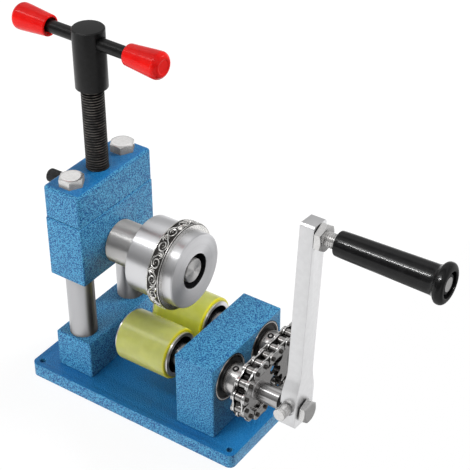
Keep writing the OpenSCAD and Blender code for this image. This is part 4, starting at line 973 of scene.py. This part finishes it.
low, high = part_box("handle_spindle")
spindle_radius, spindle_head, spindle_flats, spindle_pitch = 5, 5, 13, 1.5
spindle_foot = Vector((low.x, handle_y, handle_z))
grip_low, grip_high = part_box("handle_grip")
thread_end = (grip_low.x - low.x) / MM + 1
head_seat = (high.x - low.x) / MM - spindle_head
thread_root, shade_rim = 4.1, 4.8
mesh = bmesh.new()
lathe(mesh, [(0, 0), (thread_root, 0), (thread_root, thread_end), (spindle_radius, thread_end + 0.9),
             (spindle_radius, head_seat), (0, head_seat)], spindle_foot, X, 64)
helix(mesh, spindle_foot, X, thread_end + 0.5, spindle_radius, thread_root - 0.05, spindle_pitch, 0.0, 48)
hexagon(mesh, spindle_flats, spindle_head, spindle_foot + X * head_seat * MM, X, math.radians(25))
spindle = make("handle_spindle", mesh, [zinc_plate, black_oxide], "drive")
# The head's end face is painted black beyond a small middle: painted shade for the recess in the grip's end
# round it.
refinish(spindle, lambda face: face.center.x - spindle_foot.x > head_seat * MM
         and from_axis(face, spindle_foot) > shade_rim)

# Handle grip.
# A grip of black plastic, moulded and polished, turns on the spindle: a slow taper, a
# drawn-in throat and a rounded flare that keeps the hand on. Its end is open for the bolt.

# Polished black plastic mirrors the room sharply over a black body.
gloss_black = mottled("polished_black_plastic", "#0B0B0C", ("#080809", "#121213"), 5, 5.0, (0.35, 0.7),
                      (0.18, 0.2), Metallic=0.0, Roughness=0.2, IOR=1.5, Specular_IOR_Level=0.25)
grip_bore, flare, end_bore = 5.05, 13.5, 8.5
end = (grip_high.x - grip_low.x) / MM
end_floor = end - 6.3
mesh = bmesh.new()
lathe(mesh, [(grip_bore, 0.6), (5.6, 0, 0.3), (8.3, 0, 1.2), (8.6, 8, 3), (9.7, end - 13, 5),
             (9.75, end - 9.5, 2), (10.6, end - 7.4, 1.5), (flare, end - 5.4, 1.8), (flare, end - 1.8, 1.8),
             (flare - 2.6, end, 1.6), (end_bore, end, 0.7), (end_bore, end_floor), (grip_bore, end_floor)],
      Vector((grip_low.x, handle_y, handle_z)), X, 96, hollow=True)
grip = make("handle_grip", mesh, [gloss_black], "grip")

# Bench.
# The machine stands at the edge of a pale bench, so that the crank swings clear of it.
# The bench shows white, and keeps a part of the machine's soft shadow.
bench_edge, bench_reach, bench_top = 0.1, 4, -0.0002
bench_mesh = bmesh.new()
for x, y in ((-bench_reach, -bench_reach), (bench_edge, -bench_reach), (bench_edge, bench_reach),
             (-bench_reach, bench_reach)):
    bench_mesh.verts.new((x, y, bench_top))
bench_mesh.verts.ensure_lookup_table()
bench_mesh.faces.new(bench_mesh.verts)
bench_data = bpy.data.meshes.new("bench")
bench_mesh.to_mesh(bench_data)
bench = bpy.data.objects.new("bench", bench_data)
bpy.context.scene.collection.objects.link(bench)
bench_paint = bpy.data.materials.new("white_bench_top")
bench_paint.use_nodes = True
tree = bench_paint.node_tree
tree.nodes.clear()
rays = add(tree, "LightPath")
seen = add(tree, "Math", {"operation": "MAXIMUM"}, _0=(rays, "Is Camera Ray"), _1=(rays, "Is Glossy Ray"))
seen = add(tree, "Math", {"operation": "MAXIMUM"}, _0=(seen, 0), _1=(rays, "Is Transmission Ray"))
# Near the machine a quarter of the bench's look is its own paint, which takes the shadow.
place = add(tree, "TexCoord")
away = add(tree, "VectorMath", {"operation": "LENGTH"}, _0=(place, "Object"))
fade = add(tree, "MapRange", Value=(away, "Value"), From_Min=0.3, From_Max=1.0, To_Min=0.75)
share = add(tree, "Math", {"operation": "MULTIPLY"}, _0=(seen, 0), _1=(fade, 0))
matt = add(tree, "BsdfDiffuse", Color=linear("#F4F4F4"))
glow = add(tree, "Emission", Color=(1, 1, 1, 1), Strength=1.12)
both = add(tree, "MixShader", _0=(share, 0), _1=(matt, 0), _2=(glow, 0))
add(tree, "OutputMaterial", Surface=(both, 0))
bench_data.materials.append(bench_paint)

# Studio.
# Two large soft lamps light the machine from the front and from behind on the chain side.
# A long narrow one lies overhead for the gleam on round metal. The metal sees a white room
# with greyer walls and corners, which give it its darker bands.
world = bpy.data.worlds.new("white_room")
bpy.context.scene.world = world
world.use_nodes = True
tree = world.node_tree
tree.nodes.clear()
rays = add(tree, "LightPath")
way = add(tree, "TexCoord")
apart = add(tree, "SeparateXYZ", Vector=(way, "Generated"))
turn = add(tree, "Math", {"operation": "ARCTAN2"}, _0=(apart, "Z"), _1=(apart, "Y"))
share = add(tree, "MapRange", Value=(turn, 0), From_Min=-math.pi, From_Max=math.pi)
walls = add(tree, "ValToRGB", _0=(share, 0))
# Degrees up from the far side, over the top and down to the near side, with the wall's level.
room = [(-180, 0.3), (-165, 0.6), (-148, 0.95), (-110, 0.8), (-85, 0.5), (-60, 0.25), (-35, 0.4),
        (-12, 0.6), (15, 0.5), (38, 0.6), (54, 1.0), (66, 0.9), (77, 0.45), (88, 0.7), (104, 1.1),
        (120, 0.85), (140, 0.5), (160, 0.32), (174, 0.22), (180, 0.3)]
ramp = walls.color_ramp
for degrees, _ in room[1:-1]:
    ramp.elements.new((degrees + 180) / 360)
for element, (degrees, wall_level) in zip(ramp.elements, room):
    element.position = (degrees + 180) / 360
    element.color = (wall_level, wall_level, wall_level, 1)
shiny = add(tree, "Math", {"operation": "MAXIMUM"}, _0=(rays, "Is Glossy Ray"),
            _1=(rays, "Is Transmission Ray"))
lit = add(tree, "Mix", {"data_type": "RGBA"}, _0=(shiny, 0), _6=(0.25, 0.25, 0.25, 1), _7=(walls, "Color"))
seen = add(tree, "Mix", {"data_type": "RGBA"}, _0=(rays, "Is Camera Ray"), _6=(lit, 2), _7=(1, 1, 1, 1))
sky = add(tree, "Background", Color=(seen, 2), Strength=1.0)
add(tree, "OutputWorld", Surface=(sky, 0))


def soft_lamp(name, at, aim, width, height, watts, seen_in_metal):
    """A rectangular soft lamp at a point, turned towards another."""
    light = bpy.data.lights.new(name, "AREA")
    light.shape = "RECTANGLE"
    light.size, light.size_y, light.energy = width, height, watts
    lamp = bpy.data.objects.new(name, light)
    bpy.context.scene.collection.objects.link(lamp)
    lamp.location = at
    lamp.rotation_euler = (Vector(aim) - Vector(at)).to_track_quat("-Z", "Y").to_euler()
    lamp.visible_glossy = seen_in_metal
    return lamp


soft_lamp("front_lamp", (-0.35, -1.3, 0.4), (0, 0, 0.1), 1.0, 0.8, 13, False)
soft_lamp("side_lamp", (0.75, 0.85, 0.75), (0, 0, 0.1), 0.7, 0.7, 18, False)
soft_lamp("gleam_lamp", (-0.5, -0.65, 1.32), (-0.5, 0, 0.1), 1.8, 0.17, 5.0, True)
# Cards as a photographer sets them: a line of light on the black grip, a pale one for the
# faces that look out along the shafts and one for the tops of the bolts.


def card(name, pieces, at, aim, width, height, watts):
    """A soft white card that only some pieces mirror, and that lights nothing."""
    lamp = soft_lamp(name, at, aim, width, height, watts, True)
    lamp.visible_diffuse = False
    shown_on = bpy.data.collections.new(name + "_pieces")
    for piece in pieces:
        shown_on.objects.link(piece)
    lamp.light_linking.receiver_collection = shown_on


card("line_of_light", [grip], (0.1, -0.8, 1.12), (0.1, 0, 0.1), 1.2, 0.05, 24)
card("low_card", [arm_piece, roll, scroll_ring], (0.67, 0.79, -0.57), (0.12, -0.02, 0.12), 1.4, 1.4, 4.3)
card("back_card", [head_bolts, nut], (-0.61, 0.81, 0.86), (-0.0565, 0, 0.17), 1.0, 1.0, 1.3)

# Light that comes through the far sleeve makes it glow. The sleeve is opaque here, so a lamp
# that shines on it alone, and that the other pieces don't block, stands for that light.
glow_lamp = soft_lamp("sleeve_glow", (0.4, -0.5, 0.55), (0, 0.02, 0.05), 0.3, 0.3, 3.6, False)
glow_lamp.data.color = (1, 1, 0.25)
glowing = bpy.data.collections.new("glowing_sleeve")
glowing.objects.link(far_sleeve)
glow_lamp.light_linking.receiver_collection = glowing
glow_lamp.light_linking.blocker_collection = glowing

# Camera.
# The photograph was taken from the crank's near side, 35 degrees above the bench. The lens
# and the place were fitted to the straight edges of the base, the blocks and the posts.
camera_data = bpy.data.cameras.new("camera")
camera_data.lens = 105.1
camera_data.sensor_width = 36
camera_data.shift_x = -0.0131
camera_data.shift_y = 0.0079
camera = bpy.data.objects.new("camera", camera_data)
bpy.context.scene.collection.objects.link(camera)
camera.location = (0.4776, -0.6082, 0.6677)
camera.rotation_euler = Vector((0.4615, -0.6772, 0.5731)).to_track_quat("Z", "Y").to_euler()
bpy.context.scene.camera = camera
bpy.context.scene.view_settings.view_transform = "Standard"
